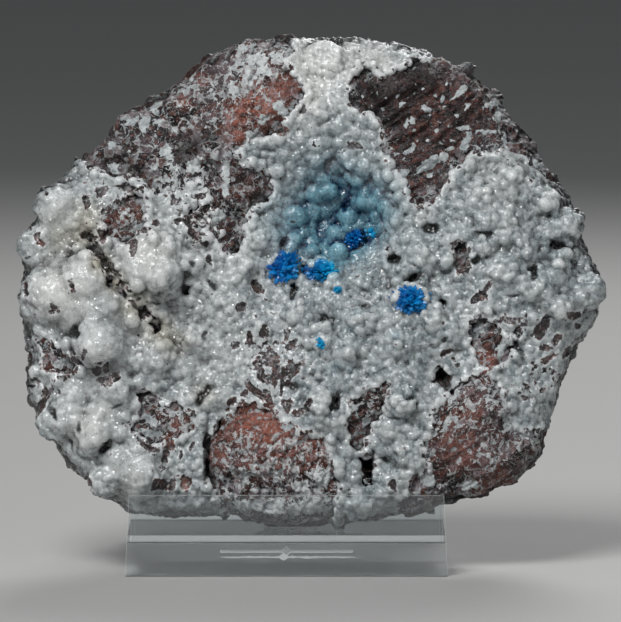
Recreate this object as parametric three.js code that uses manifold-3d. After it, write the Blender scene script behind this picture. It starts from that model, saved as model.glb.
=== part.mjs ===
// A cavansite specimen: a slab of basalt breccia with a botryoidal zeolite crust on its front face and blue
// cavansite crystal balls in and around a hollow of that crust. It leans in a clear acrylic easel.
// Millimetres, +Z up. The crusted face looks along -Y and X runs across it.
import * as THREE from 'three';
import { mergeVertices } from 'three/addons/utils/BufferGeometryUtils.js';
import Module from 'manifold-3d';

const wasm = await Module();
wasm.setup();

// ---- Driving dimensions ----
const GAP = 0.3; // clearance between pieces that touch
const LEAN = Math.tan(THREE.MathUtils.degToRad(12)); // the slab leans back by this much per millimetre of height
const CENTRE_Z = 79; // height of the slab's middle
const DETAIL = 7; // subdivisions of the ball that the slab is shaped from

const EDGE_HALF = 15; // half the slab's thickness at its rim
const EDGE_START = 0.86; // share of the radius where the rim starts to round off
const EDGE_ANGLE = 72; // polar angle on the ball, in degrees, where the rim starts
const FRONT_DOME = 5; // how far the front's middle stands out past the rim
const BACK_DOME = 8; // how far the back's middle stands out past the rim
const CRUST = 2.5; // thickness of the zeolite crust
const BARE_DEPTH = 0.9; // how far bare basalt lies under the crust's surface
const BEYOND = 160; // further than the slab reaches, for the tools that cut it
const BACK_DEPTH = 5; // the crust's blank dives this deep into the stone behind the rim

const SHEET = 2.1; // thickness of the acrylic sheet
const STAND_WIDTH = 88;
const STAND_X = -6.6; // the easel's middle lies this far to the side of the slab's
const STAND_TAPER = 0.09; // the easel narrows by this much per millimetre of height
const PLATE_HEIGHT = 22;
const PLATE_LEAN = 2.4; // the front plate's top lies this far behind its foot
const SHELF_TOP = 10.9;
const REST_HEIGHT = 86;
const LEG_REACH = 30; // the rear leg's foot lies this far behind the top of the back rest
const RULE = { length: 36, height: 0.5, depth: 0.25, z: 6.9, lozenge: 1.3 }; // engraved line on the front plate

// The slab's outline seen from the front, clockwise from its top.
const OUTLINE = [
  [2, 146.5], [-14, 145.5], [-22, 144.5], [-31, 137.5], [-42, 130], [-53, 123], [-64.5, 112.5], [-74.5, 102.5],
  [-78.5, 96], [-79.5, 85], [-81, 69], [-78, 61.5], [-80.5, 52], [-78, 45], [-73.5, 37.5], [-69, 29.5],
  [-62, 23], [-54, 17], [-46, 13.5], [-29.5, 14], [-13, 12], [-5, 11.2], [11, 12], [24.5, 14.5], [38.5, 17.5],
  [48, 20], [57.5, 24], [64, 31], [67.5, 43.5], [70, 51.5], [75, 61], [80, 67.5], [80.5, 81], [78, 86],
  [75, 90.5], [74, 97], [71, 105.5], [65.5, 111.5], [57, 121.5], [50.5, 132], [42.5, 137.5], [31, 142.5],
  [19.5, 145.5],
];

// Broad relief of the front: x, z, radius, height. A negative height is a hollow.
const RELIEF = [
  [-70, 98, 9, 4], [-66, 76, 14, 8], [-44, 84, 10, 5], [-57, 62, 10, 6], [-67, 43, 6, 3], [-60, 38, 8, 3],
  [-45, 29, 11, 5], [5, 137, 20, 4], [53, 101, 17, 5], [65, 80, 13, 5], [47, 37, 16, 8], [-11, 29, 15, 6],
  [-38, 122, 20, 2], [32, 122, 16, 3], [5, 97, 20, -12], [9, 93, 9, -5], [-9, 80, 10, -4], [29, 84, 9, -4],
  [-37, 72, 9, -4], [-58, 90, 5, -4], [-28, 84, 7, -3], [18, 32, 7, -5], [36, 54, 6, -5], [-27, 56, 10, -2],
  [56, 64, 6, -3], [-53, 45, 8, -3],
];

// Windows in the crust where the basalt shows. Those at the rim run out past it.
const WINDOWS = [
  [[10.5, 132.5], [12, 135], [15, 138.5], [19.5, 135], [24, 137], [26.5, 137], [28, 140], [33, 139], [42, 146],
    [62, 138], [80, 108], [71, 104], [66, 106.5], [62, 109.5], [58.5, 114], [55, 117.5], [52, 114.5],
    [44, 113.5], [40, 109.5], [37, 105.5], [34.5, 101], [31, 99.5], [27.5, 100], [25, 104.5], [22, 109.5],
    [19.5, 115], [20, 122], [17, 125.5], [13.5, 124.5], [11, 127.5]],
  [[-14, 153], [-6, 146], [-4.5, 142], [-7.5, 139], [-4, 135.5], [-1, 131], [-3, 127], [-8, 123.5],
    [-7.5, 119.5], [-14, 117.5], [-18, 117.5], [-21, 114], [-17, 110], [-11, 109], [-9, 104.5], [-11.5, 100],
    [-16.5, 99], [-17.5, 93], [-20, 86], [-24, 87], [-27, 92.5], [-31.5, 92], [-35, 96.5], [-31, 101],
    [-35, 104.5], [-42, 103], [-47.5, 107], [-55.5, 108], [-61, 110], [-72, 117], [-48, 138], [-27, 153]],
  [[-57.5, 98], [-53, 101], [-51, 103], [-46.5, 104], [-45, 100], [-45.5, 95], [-49, 91], [-52, 90],
    [-56, 91.5], [-58, 94.5]],
  [[-29, 36], [-25.5, 40.5], [-20.5, 45], [-15.5, 47], [-8, 43.5], [-3, 38.5], [4, 38], [5.5, 32.5], [6, 28],
    [8, 23], [5, 6], [-20, 6], [-25, 18], [-28, 27]],
  [[30.5, 36], [34, 40], [33, 45], [37.5, 49], [41, 52.5], [47, 55], [52, 52.5], [53, 48], [54, 41],
    [58, 38.5], [74, 38], [72, 20], [48, 6], [26, 8], [24, 19], [28, 22.5], [27.5, 26], [33, 28], [31, 32]],
  [[44, 67.5], [47.5, 71], [52.5, 66], [55.5, 61.5], [54, 57], [50, 56], [46, 56.5], [44, 61.5]],
  [[11, 47], [16, 51], [22.5, 52.5], [20, 48], [20.5, 43], [17.5, 40.5], [16, 35.5], [13, 33], [10.5, 35],
    [10, 41]],
  [[39, 90], [42.5, 90.5], [43.5, 86], [42.5, 82.5], [39, 83.5]],
  [[-77, 64.5], [-73, 63.5], [-69.5, 61], [-64, 58], [-65.5, 54.5], [-72, 55], [-75, 56], [-73, 59.5]],
  [[-48, 50], [-45, 50.5], [-41, 46], [-36.5, 47], [-31.5, 43], [-31.5, 39], [-36.5, 37.5], [-44.5, 35],
    [-47.5, 37.5], [-51, 40.5], [-47, 43]],
];

// Rounded lumps of the crust: x, z, radius of the cap that stands out.
const LUMPS = [
  [55, 107, 4.5], [46, 103, 4], [64, 100, 4.7], [54, 97, 4], [71, 94, 4.7], [48, 89, 4], [58, 88, 4.5],
  [68, 85, 4], [60, 78, 4.5], [76, 76, 5], [68, 71, 4.7], [16, 101, 4.7], [3, 104, 4.7], [-5, 96, 4],
  [24, 96, 4], [30, 87, 4.5], [25, 47, 5], [25, 33, 4], [3, 47, 5], [9, 58, 4.5], [13, 19, 4.5],
  [10, 114, 4.5], [-41, 81, 5.5], [-43, 92, 4], [-33, 84, 4], [-70, 99, 6], [-72, 74, 8], [-61, 80, 7],
  [-58, 63, 7], [-70, 41, 5.5], [-59, 38, 5.5], [-45, 27, 7], [-31, 64, 4.5], [-41, 59, 5], [-18, 84, 4],
  [4, 138, 6], [-3, 70, 4.5], [14, 68, 4.5], [34, 69, 4.5], [-14, 65, 4], [-53, 51, 5.5], [-75, 88, 5.5],
  [-56, 25, 5], [2, 125, 4.5],
];
const LUMP_SINK = 0.5; // how far a lump's centre lies under the surface, as a share of its radius
const ROUND_LUMP = 4.8; // lumps wider than this have more faces

// Flat fractures of the back: the outward direction and the distance from the slab's middle.
const FRACTURES = [
  [0, 0.978, -0.208, 19], [0.5, 0.82, 0.2, 42], [-0.55, 0.78, 0.25, 46], [-0.45, 0.8, -0.35, 42],
  [0.5, 0.78, -0.3, 42], [0.05, 0.78, 0.6, 47], [-0.1, 0.72, -0.65, 46], [0.75, 0.6, 0.2, 62],
];

// Deep holes in the crust: x, z, radius, depth.
const PITS = [
  [35.5, 53.5, 2.6, 9], [16, 30, 2.6, 9], [-34, 77, 2, 6], [56, 65, 2, 6], [-45.5, 73, 2, 6], [22, 87, 2, 6],
];

// The crack through the left of the crust, from its top end to its lower one.
const CRACK = [[-63, 94], [-58.5, 86.5], [-53, 79], [-49, 74.5], [-45, 70.5], [-40.5, 66]];
const CRACK_WIDTH = 4;
const CRACK_DEPTH = 4;
const CRACK_STEPS = 7;

// Angular blocks of basalt in the bare windows: x, z, radius, sides, turn in degrees.
const BLOCKS = [
  [-50, 122, 5, 5, 10], [-37, 126, 5.5, 5, 40], [-28, 136, 5, 4, 70], [-43, 112, 4.5, 5, 25],
  [-28, 115, 6, 5, 50], [-17, 127, 6, 4, 15], [-22, 101, 5, 4, 5], [-51, 97, 4, 5, 60], [49, 63, 4, 5, 15],
  [50, 46, 5, 5, 45], [-40, 42, 4.5, 5, 75],
];
const BLOCK_RISE = 1.2;
const BLOCK_DEPTH = 4;

// Ledges along the grain of the basalt: x, z, length, width, turn in degrees.
const LEDGES = [
  [22, 130, 15, 5, 35], [35, 130, 24, 5, 38], [32, 119, 26, 5, 36], [46, 124, 16, 5, 33], [-14, 38, 20, 5, 8],
  [-11, 28, 26, 5, -6], [48, 30, 20, 5, 12],
];
const LEDGE_RISE = 1.6;

// Cavansite balls: name, x, z, radius, number of blades, depth of the centre under the crust's surface.
const SPRAYS = [
  ['cavansite_spray_left', -7.4, 82.1, 4.2, 13, 0.6],
  ['cavansite_spray_centre', 3.1, 81.4, 3.6, 12, 0.4],
  ['cavansite_spray_recess', 12.1, 89.9, 3.2, 12, 1],
  ['cavansite_spray_right', 27.6, 74, 4.3, 13, 0.4],
  ['cavansite_tuft_upper', 17.2, 92.3, 1.8, 6, 0.2],
  ['cavansite_tuft_middle', 7.9, 77.1, 1.5, 6, 0.2],
  ['cavansite_tuft_lower', 3.1, 63.1, 1.9, 6, 0.2],
];
const SOCKET_SIDES = 7;
const BLADE = { width: 0.2, thickness: 0.12 }; // half sizes of a blade, as a share of the ball's radius

// ---- Solids and geometries ----
const UP = new THREE.Vector3(0, 1, 0); // the axis of a new three.js cylinder

function solidFrom(geometry) {
  const plain = geometry.index ? geometry.toNonIndexed() : geometry.clone();
  plain.deleteAttribute('normal');
  plain.deleteAttribute('uv');
  const merged = mergeVertices(plain, 1e-4);
  const vertProperties = new Float32Array(merged.getAttribute('position').array);
  const triVerts = new Uint32Array(merged.index.array);
  return new wasm.Manifold(new wasm.Mesh({ numProp: 3, vertProperties, triVerts }));
}

function geometryFrom(solid) {
  const { vertProperties, triVerts } = solid.getMesh();
  const geometry = new THREE.BufferGeometry();
  geometry.setAttribute('position', new THREE.BufferAttribute(vertProperties, 3));
  geometry.setIndex(new THREE.BufferAttribute(triVerts, 1));
  geometry.computeVertexNormals();
  return geometry;
}

function joined(solids) {
  return solids.reduce((sum, solid) => sum.add(solid));
}

function largestPiece(solid) {
  return solid.decompose().reduce((best, piece) => (piece.volume() > best.volume() ? piece : best));
}

// ---- The slab's surface ----
const outlineCurve = new THREE.CatmullRomCurve3(
  OUTLINE.map(([x, z]) => new THREE.Vector3(x, z - CENTRE_Z, 0)), true);
const outlinePoints = outlineCurve.getPoints(720).map((point) => (
  { angle: Math.atan2(point.y, point.x), radius: Math.hypot(point.x, point.y) }
)).sort((a, b) => a.angle - b.angle);

// Distance from the slab's middle to its outline in the direction of an angle.
function outlineRadius(angle) {
  const after = outlinePoints.findIndex((point) => point.angle >= angle);
  const next = outlinePoints[Math.max(after, 0)];
  const last = outlinePoints[(outlinePoints.indexOf(next) + outlinePoints.length - 1) % outlinePoints.length];
  const span = next.angle - last.angle;
  const share = span > 1e-6 ? (angle - last.angle) / span : 0;
  return THREE.MathUtils.lerp(last.radius, next.radius, THREE.MathUtils.clamp(share, 0, 1));
}

function relief(x, z) {
  const swells = RELIEF.reduce((sum, [cx, cz, radius, height]) => (
    sum + height * Math.exp(-((x - cx) ** 2 + (z - cz) ** 2) / radius ** 2)), 0);
  const ripple = 0.6 * Math.sin(x / 3.1 + z / 7.7) + 0.5 * Math.sin(z / 2.9 - x / 6.1);
  return swells + ripple;
}

function backRelief(x, z) {
  const broad = 1.6 * Math.sin(x / 13 + 1) * Math.cos(z / 17);
  return broad + 1.1 * Math.sin(z / 7.3 + x / 11) + 0.7 * Math.sin(x / 4.7);
}

function middleY(z) {
  return (z - CENTRE_Z) * LEAN;
}

// How far the front face lies before the slab's middle plane, share being the distance out from the middle.
function frontDepth(x, z, share) {
  const fade = 1 - Math.min(share, 1) ** 6;
  return EDGE_HALF + FRONT_DOME * (1 - share ** 2) + relief(x, z) * fade;
}

function frontY(x, z) {
  const share = Math.hypot(x, z - CENTRE_Z) / outlineRadius(Math.atan2(z - CENTRE_Z, x));
  const rounding = THREE.MathUtils.clamp((share - EDGE_START) / (1 - EDGE_START), 0, 0.98);
  const depth = share < EDGE_START
    ? frontDepth(x, z, share / EDGE_START)
    : EDGE_HALF * Math.sqrt(1 - rounding ** 2);
  return middleY(z) - depth;
}

function isBare(x, z) {
  return WINDOWS.some((outline) => {
    let inside = false;
    outline.forEach(([ax, az], index) => {
      const [bx, bz] = outline[(index + outline.length - 1) % outline.length];
      if ((az > z) !== (bz > z) && x < ((bx - ax) * (z - az)) / (bz - az) + ax) inside = !inside;
    });
    return inside;
  });
}

// The point of the slab's surface for a polar angle from the front and an angle round it, sunk by a depth.
function surfacePoint(polar, angle, depthAt) {
  const reach = outlineRadius(angle);
  const edge = THREE.MathUtils.degToRad(EDGE_ANGLE);
  const side = Math.sign(polar - Math.PI / 2);
  const cap = Math.min(polar, Math.PI - polar);
  const inner = EDGE_START * Math.sqrt((1 - Math.cos(Math.min(cap, edge))) / (1 - Math.cos(edge)));
  const turn = ((Math.max(cap, edge) - Math.PI / 2) / (Math.PI / 2 - edge)) * (Math.PI / 2);
  const share = cap < edge ? inner : EDGE_START + (1 - EDGE_START) * Math.cos(turn);
  const x = Math.cos(angle) * reach * share;
  const z = CENTRE_Z + Math.sin(angle) * reach * share;
  const capShare = Math.min(share / EDGE_START, 1);
  const face = side < 0
    ? frontDepth(x, z, capShare)
    : EDGE_HALF + (BACK_DOME + backRelief(x, z)) * (1 - capShare ** 4);
  const offset = cap < edge ? face : -EDGE_HALF * Math.sin(turn);
  const sunk = depthAt(x, z, polar);
  const outward = cap < edge ? 0 : Math.cos(turn);
  const forward = cap < edge ? 1 : -Math.sin(turn);
  return new THREE.Vector3(
    x - sunk * outward * Math.cos(angle),
    middleY(z) + side * (offset - sunk * forward),
    z - sunk * outward * Math.sin(angle),
  );
}

function slab(depthAt) {
  const ball = new THREE.IcosahedronGeometry(1, DETAIL);
  ball.rotateX(0.3);
  const position = ball.getAttribute('position');
  const point = new THREE.Vector3();
  for (let index = 0; index < position.count; index += 1) {
    point.fromBufferAttribute(position, index).normalize();
    const polar = Math.acos(THREE.MathUtils.clamp(-point.y, -1, 1));
    const placed = surfacePoint(polar, Math.atan2(point.z, point.x), depthAt);
    position.setXYZ(index, placed.x, placed.y, placed.z);
  }
  return solidFrom(ball);
}

// Depth of the basalt under the surface: a crust's thickness, less where the basalt is bare, none at the back.
function basaltDepth(x, z, polar) {
  const frontness = THREE.MathUtils.clamp((1.75 - polar) / 0.2, 0, 1);
  const rimness = THREE.MathUtils.clamp((polar - 1.15) / 0.15, 0, 1);
  const bare = BARE_DEPTH * (1 - rimness);
  return frontness * (isBare(x, z) ? bare : CRUST);
}

function crustDepth(x, z, polar) {
  return BACK_DEPTH * THREE.MathUtils.clamp((polar - 1.6) / 0.2, 0, 1);
}

// ---- Small forms ----
function lump([x, z, cap]) {
  const radius = cap / Math.sqrt(1 - LUMP_SINK ** 2);
  const ball = cap < ROUND_LUMP
    ? new THREE.DodecahedronGeometry(radius, 0)
    : new THREE.IcosahedronGeometry(radius, 1);
  ball.rotateY(x);
  ball.rotateX(z);
  ball.translate(x, frontY(x, z) + LUMP_SINK * radius, z);
  return solidFrom(ball);
}

// The stone beyond one flat fracture of the back, as a block to cut away.
function fracture([nx, ny, nz, distance]) {
  const normal = new THREE.Vector3(nx, ny, nz).normalize();
  const waste = new THREE.BoxGeometry(2 * BEYOND, 2 * BEYOND, BEYOND);
  waste.translate(0, 0, BEYOND / 2 + distance);
  waste.applyQuaternion(new THREE.Quaternion().setFromUnitVectors(new THREE.Vector3(0, 0, 1), normal));
  waste.translate(0, 0, CENTRE_Z);
  return solidFrom(waste);
}

function windowSolid(outline) {
  const shape = new THREE.Shape(outline.map(([x, z]) => new THREE.Vector2(x, z)));
  const prism = new THREE.ExtrudeGeometry(shape, { depth: BEYOND, bevelEnabled: false });
  prism.rotateX(Math.PI / 2);
  prism.translate(0, BEYOND / 2, 0);
  return solidFrom(prism);
}

function pit([x, z, radius, depth]) {
  const cone = new THREE.CylinderGeometry(radius * 0.4, radius * 1.6, depth * 2, 6);
  cone.translate(x, frontY(x, z), z);
  return solidFrom(cone);
}

function crack() {
  const route = new THREE.CatmullRomCurve3(CRACK.map(([x, z]) => new THREE.Vector3(x, frontY(x, z), z)));
  const half = CRACK_WIDTH / 2;
  const section = new THREE.Shape([[0, -CRACK_DEPTH], [half, 0], [0, CRACK_DEPTH], [-half, 0]].map(
    ([x, y]) => new THREE.Vector2(y, x)));
  return solidFrom(new THREE.ExtrudeGeometry(section, { steps: CRACK_STEPS, extrudePath: route }));
}

function block([x, z, radius, sides, turn], grow) {
  const tablet = new THREE.CylinderGeometry(radius * 0.75 + grow, radius + grow, BLOCK_DEPTH + grow, sides);
  tablet.scale(1, 1, 0.8);
  tablet.rotateY(THREE.MathUtils.degToRad(turn));
  tablet.rotateX(Math.PI / 2 + 0.1);
  tablet.translate(x, frontY(x, z) + BARE_DEPTH + BLOCK_DEPTH / 2 - BLOCK_RISE, z);
  return solidFrom(tablet);
}

function ledge([x, z, length, width, turn], grow) {
  const radius = width / 2 + grow;
  const reach = new THREE.Vector2(length / 2 + grow, 0);
  reach.rotateAround(new THREE.Vector2(), THREE.MathUtils.degToRad(turn));
  const [start, end] = [-1, 1].map((side) => new THREE.Vector3(
    x + side * reach.x, frontY(x + side * reach.x, z + side * reach.y), z + side * reach.y));
  const along = end.clone().sub(start);
  const bar = new THREE.CylinderGeometry(radius, radius, along.length(), 4);
  bar.applyQuaternion(new THREE.Quaternion().setFromUnitVectors(UP, along.normalize()));
  bar.translate(...start.add(end).multiplyScalar(0.5).toArray());
  bar.translate(0, BARE_DEPTH + width / 2 - LEDGE_RISE, 0);
  return solidFrom(bar);
}

// Even directions over a ball, by the golden angle.
function direction(index, count) {
  const height = 1 - (2 * (index + 0.5)) / count;
  const angle = index * Math.PI * (3 - Math.sqrt(5));
  const ring = Math.sqrt(1 - height * height);
  return new THREE.Vector3(ring * Math.cos(angle), height, ring * Math.sin(angle));
}

function sprayCentre([, x, z, , , depth]) {
  return new THREE.Vector3(x, frontY(x, z) + depth, z);
}

// A ball of pointed blades that grow out of one core.
function spray(row) {
  const [, , , radius, count] = row;
  const core = new THREE.OctahedronGeometry(radius * 0.66, 0);
  const blades = [];
  for (let index = 0; index < count; index += 1) {
    const blade = new THREE.OctahedronGeometry(1, 0);
    blade.scale(radius * BLADE.width, radius * 0.5, radius * BLADE.thickness);
    blade.rotateY(index * 1.3);
    blade.translate(0, radius * 0.5, 0);
    blade.applyQuaternion(new THREE.Quaternion().setFromUnitVectors(UP, direction(index, count)));
    blades.push(solidFrom(blade));
  }
  const centre = sprayCentre(row);
  return largestPiece(joined([solidFrom(core), ...blades])).translate([centre.x, centre.y, centre.z]);
}

// The room that a ball needs in the crust and the stone.
function socket(row) {
  const centre = sprayCentre(row);
  const reach = row[3] + GAP;
  const radius = reach / Math.cos(Math.PI / SOCKET_SIDES);
  const room = new THREE.CylinderGeometry(radius, radius, 4 * reach, SOCKET_SIDES);
  room.translate(centre.x, centre.y - reach, centre.z);
  return solidFrom(room);
}

// ---- The specimen ----
const sockets = joined(SPRAYS.map(socket));
const pits = joined(PITS.map(pit));
const brokenForms = (grow) => joined([
  ...BLOCKS.map((row) => block(row, grow)),
  ...LEDGES.map((row) => ledge(row, grow)),
]);
const fractures = joined(FRACTURES.map(fracture));
const basalt = largestPiece(
  slab(basaltDepth).subtract(fractures).add(brokenForms(0)).subtract(pits).subtract(sockets));

const basaltRoom = slab((x, z, polar) => basaltDepth(x, z, polar) - GAP);
const crust = largestPiece(
  joined([slab(crustDepth), ...LUMPS.map(lump)])
    .subtract(basaltRoom)
    .subtract(joined(WINDOWS.map(windowSolid)))
    .subtract(brokenForms(GAP))
    .subtract(pits)
    .subtract(crack())
    .subtract(fractures)
    .subtract(sockets));

// ---- The easel ----
function pointsOf(solid) {
  const { vertProperties } = solid.getMesh();
  return Array.from({ length: vertProperties.length / 3 }, (_, index) => (
    new THREE.Vector3().fromArray(vertProperties, index * 3)));
}

// The slab's points that lie between the easel's sides and below a height.
function heldPoints(points, height) {
  return points.filter((point) => Math.abs(point.x - STAND_X) < STAND_WIDTH / 2 + 5 && point.z < height);
}

// A bent sheet that holds the points of the slab in front, under and behind.
function easel(points) {
  const plateSlope = PLATE_LEAN / PLATE_HEIGHT;
  const foremost = Math.min(...heldPoints(points, PLATE_HEIGHT + 6).map(({ y, z }) => y - z * plateSlope));
  const hindmost = Math.max(...heldPoints(points, REST_HEIGHT).map(({ y, z }) => y - z * LEAN));
  const foot = foremost - GAP - SHEET;
  const plateY = (z) => foot + z * plateSlope;
  const restY = (z) => hindmost + GAP + z * LEAN;
  const shelfUnder = SHELF_TOP - SHEET;
  const restBack = SHEET / Math.cos(Math.atan(LEAN));
  const legTop = REST_HEIGHT - 1.5 * SHEET;
  const legFoot = restY(REST_HEIGHT) + LEG_REACH;
  const legSlope = (legFoot - restY(REST_HEIGHT) - restBack) / REST_HEIGHT;
  const legWall = SHEET * Math.sqrt(1 + legSlope ** 2);
  const apex = legTop - (legWall / (legSlope + LEAN));
  const profile = [
    [foot, 0], [foot + SHEET, 0], [plateY(shelfUnder) + SHEET, shelfUnder],
    [restY(shelfUnder) + restBack, shelfUnder],
    [restY(apex) + restBack, apex], [legFoot - legWall, 0], [legFoot, 0],
    [restY(REST_HEIGHT) + restBack, REST_HEIGHT], [restY(REST_HEIGHT), REST_HEIGHT],
    [restY(SHELF_TOP), SHELF_TOP], [plateY(SHELF_TOP) + SHEET, SHELF_TOP],
    [plateY(PLATE_HEIGHT) + SHEET, PLATE_HEIGHT], [plateY(PLATE_HEIGHT), PLATE_HEIGHT],
  ];
  const shape = new THREE.Shape(profile.map(([y, z]) => new THREE.Vector2(y, z)));
  const sheet = new THREE.ExtrudeGeometry(shape, { depth: STAND_WIDTH, bevelEnabled: false });
  sheet.translate(0, 0, -STAND_WIDTH / 2);
  sheet.rotateY(Math.PI / 2);
  sheet.rotateX(Math.PI / 2);
  const position = sheet.getAttribute('position');
  for (let index = 0; index < position.count; index += 1) {
    const share = 1 - (STAND_TAPER * position.getZ(index)) / STAND_WIDTH;
    position.setX(index, position.getX(index) * share);
  }
  const rule = new THREE.BoxGeometry(RULE.length, RULE.depth * 2, RULE.height);
  rule.translate(0, plateY(RULE.z), RULE.z);
  const lozenge = new THREE.CylinderGeometry(RULE.lozenge, RULE.lozenge, RULE.depth * 2, 4);
  lozenge.translate(0, plateY(RULE.z), RULE.z);
  const engraved = solidFrom(sheet).subtract(solidFrom(rule)).subtract(solidFrom(lozenge));
  return engraved.translate([STAND_X, 0, 0]);
}

const slabPoints = pointsOf(basalt.add(crust));
const drop = SHELF_TOP + GAP - Math.min(...slabPoints.map(({ z }) => z));
slabPoints.forEach((point) => point.setZ(point.z + drop));
const stand = easel(slabPoints);

// ---- The named pieces ----
const BASALT_LOOK = { color: 0x55322d, roughness: 0.85, metalness: 0 };
const CRUST_LOOK = { color: 0xbec3c3, roughness: 0.45, metalness: 0 };
const CAVANSITE_LOOK = { color: 0x005faf, roughness: 0.3, metalness: 0 };
const ACRYLIC_LOOK = { color: 0xeef2f4, roughness: 0.05, metalness: 0, transparent: true, opacity: 0.35 };

const specimen = new THREE.Group();
specimen.position.set(0, 0, drop);
const root = new THREE.Group();

function addPiece(parent, name, solid, look) {
  const piece = new THREE.Mesh(geometryFrom(solid), new THREE.MeshStandardMaterial(look));
  piece.name = name;
  parent.add(piece);
}

addPiece(specimen, 'basalt_matrix', basalt, BASALT_LOOK);
addPiece(specimen, 'zeolite_crust', crust, CRUST_LOOK);
SPRAYS.forEach((row) => addPiece(specimen, row[0], spray(row), CAVANSITE_LOOK));
addPiece(root, 'acrylic_stand', stand, ACRYLIC_LOOK);
root.add(specimen);

const box = new THREE.Box3().setFromObject(root);
root.position.set(-(box.min.x + box.max.x) / 2, -(box.min.y + box.max.y) / 2, -box.min.z);

export default root;
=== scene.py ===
"""The looks of a cavansite specimen: a slab of basalt breccia with a botryoidal zeolite crust and blue
crystal balls, leaning in a clear acrylic easel. Metres, +Z up. The crusted face looks along -Y and X runs
across it."""
import itertools
import math
import random

import bmesh
import bpy
import numpy as np
from mathutils import Matrix, Vector
from mathutils.bvhtree import BVHTree
from mathutils.kdtree import KDTree


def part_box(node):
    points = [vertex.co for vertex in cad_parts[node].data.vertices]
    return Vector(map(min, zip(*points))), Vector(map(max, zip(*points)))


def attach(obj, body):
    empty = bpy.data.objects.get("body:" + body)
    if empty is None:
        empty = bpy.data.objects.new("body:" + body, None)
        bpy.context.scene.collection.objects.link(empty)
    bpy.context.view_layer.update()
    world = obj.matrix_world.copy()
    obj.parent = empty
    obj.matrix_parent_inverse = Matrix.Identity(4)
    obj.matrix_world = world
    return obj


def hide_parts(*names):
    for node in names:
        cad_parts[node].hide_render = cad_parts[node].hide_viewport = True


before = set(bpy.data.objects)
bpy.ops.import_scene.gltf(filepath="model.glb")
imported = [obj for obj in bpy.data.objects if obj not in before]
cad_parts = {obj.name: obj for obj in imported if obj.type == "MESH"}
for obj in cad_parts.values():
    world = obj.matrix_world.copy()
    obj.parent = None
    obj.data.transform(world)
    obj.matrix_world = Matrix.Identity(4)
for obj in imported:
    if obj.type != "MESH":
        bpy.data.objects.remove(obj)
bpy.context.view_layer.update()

MM = 0.001

# ---- The basalt matrix ----
# The lump of dark, rusty basalt breccia that everything else grew on, broken out of its rock. Its sides and
# back are bare, rough fractures, and its front shows in windows of the crust, netted with thin white veins.
MATRIX_SQUARE = 1.2 * MM  # the size of the squares that the stone's skin is made of
MATRIX_TRIANGLES = 190000
CHIP = 7 * MM  # chips broken off the back and sides
BROAD_CHIP = 3 * CHIP
FRAGMENT = 2.4 * MM  # angular fragments of the breccia
GRAIN_TURN = math.radians(33)  # the grain of the upper right basalt climbs to the right
COVERED_SINK = 1.8 * MM  # how far the stone lies back where the crust covers it
PIT_DEPTH = 1.8 * MM
SPRAY_ROOM = 1.5  # millimetres of crust that always stay round a cavansite ball
# The places in the lists below are read from an eye in front of the stone and a little above it, as
# millimetres across and up in the upright plane through the middle.
MIDDLE = Vector((-0.00025, -0.005, 0.0694))
EYE_RISE = math.radians(5)
EYE_DISTANCE = 2.0
EYE = MIDDLE + Vector((0, -math.cos(EYE_RISE), math.sin(EYE_RISE))) * EYE_DISTANCE
LOOK = (MIDDLE - EYE).normalized()
EYE_UP = Vector((0, math.sin(EYE_RISE), math.cos(EYE_RISE)))
# Where white veins net the basalt: across, up, reach in millimetres, and how much.
NETTED = [
    (-34.9, 129.6, 8.3, 0.55), (-26.4, 125.4, 5.9, 0.7), (-40.9, 116.9, 7.3, 0.45),
    (-52.3, 112.2, 6.8, 0.35), (-29.0, 111.3, 5.9, 0.6), (-37.5, 106.6, 6.4, 0.6), (-16.2, 135.6, 8.3, 1),
    (-12.0, 142.4, 5.9, 0.8), (-28.1, 104.9, 5.4, 0.7), (-20.5, 114.3, 2.9, 0.6), (-52.3, 101.5, 5.9, 0.7),
    (-40.9, 100.7, 4.9, 0.6), (-18.3, 92.6, 4.4, 0.7), (-18.3, 99.0, 5.4, 0.8), (-37.0, 37.0, 5.0, 0.6),
    (-33.0, 29.0, 4.0, 0.5), (-16.2, 123.7, 4.4, 0.6), (-17.7, 31.1, 6.1, 0.45), (-17.7, 22.2, 7.6, 0.95),
    (0.1, 24.0, 7.6, 0.9), (-6.1, 31.1, 4.1, 0.6), (2.7, 30.2, 3.1, 0.4), (16.0, 44.3, 4.6, 0.7),
    (13.8, 33.7, 3.1, 0.4), (46.7, 46.8, 6.1, 0.95), (38.3, 43.7, 4.6, 0.6), (34.8, 37.0, 4.6, 0.6),
    (48.0, 31.3, 7.6, 0.5), (62.2, 41.5, 6.6, 0.7), (63.5, 32.6, 4.6, 0.7), (40.1, 22.4, 5.6, 0.4),
    (55.6, 32.6, 4.1, 0.45), (-12.0, 15.0, 14.0, 0.9), (49.8, 58.3, 3.1, 0.3), (50.1, 113.6, 3.7, 0.5),
    (54.4, 125.8, 4.3, 0.5), (-39.2, 37.2, 4.9, 0.25), (-51.9, 94.1, 4.9, 0.2),
]
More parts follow.
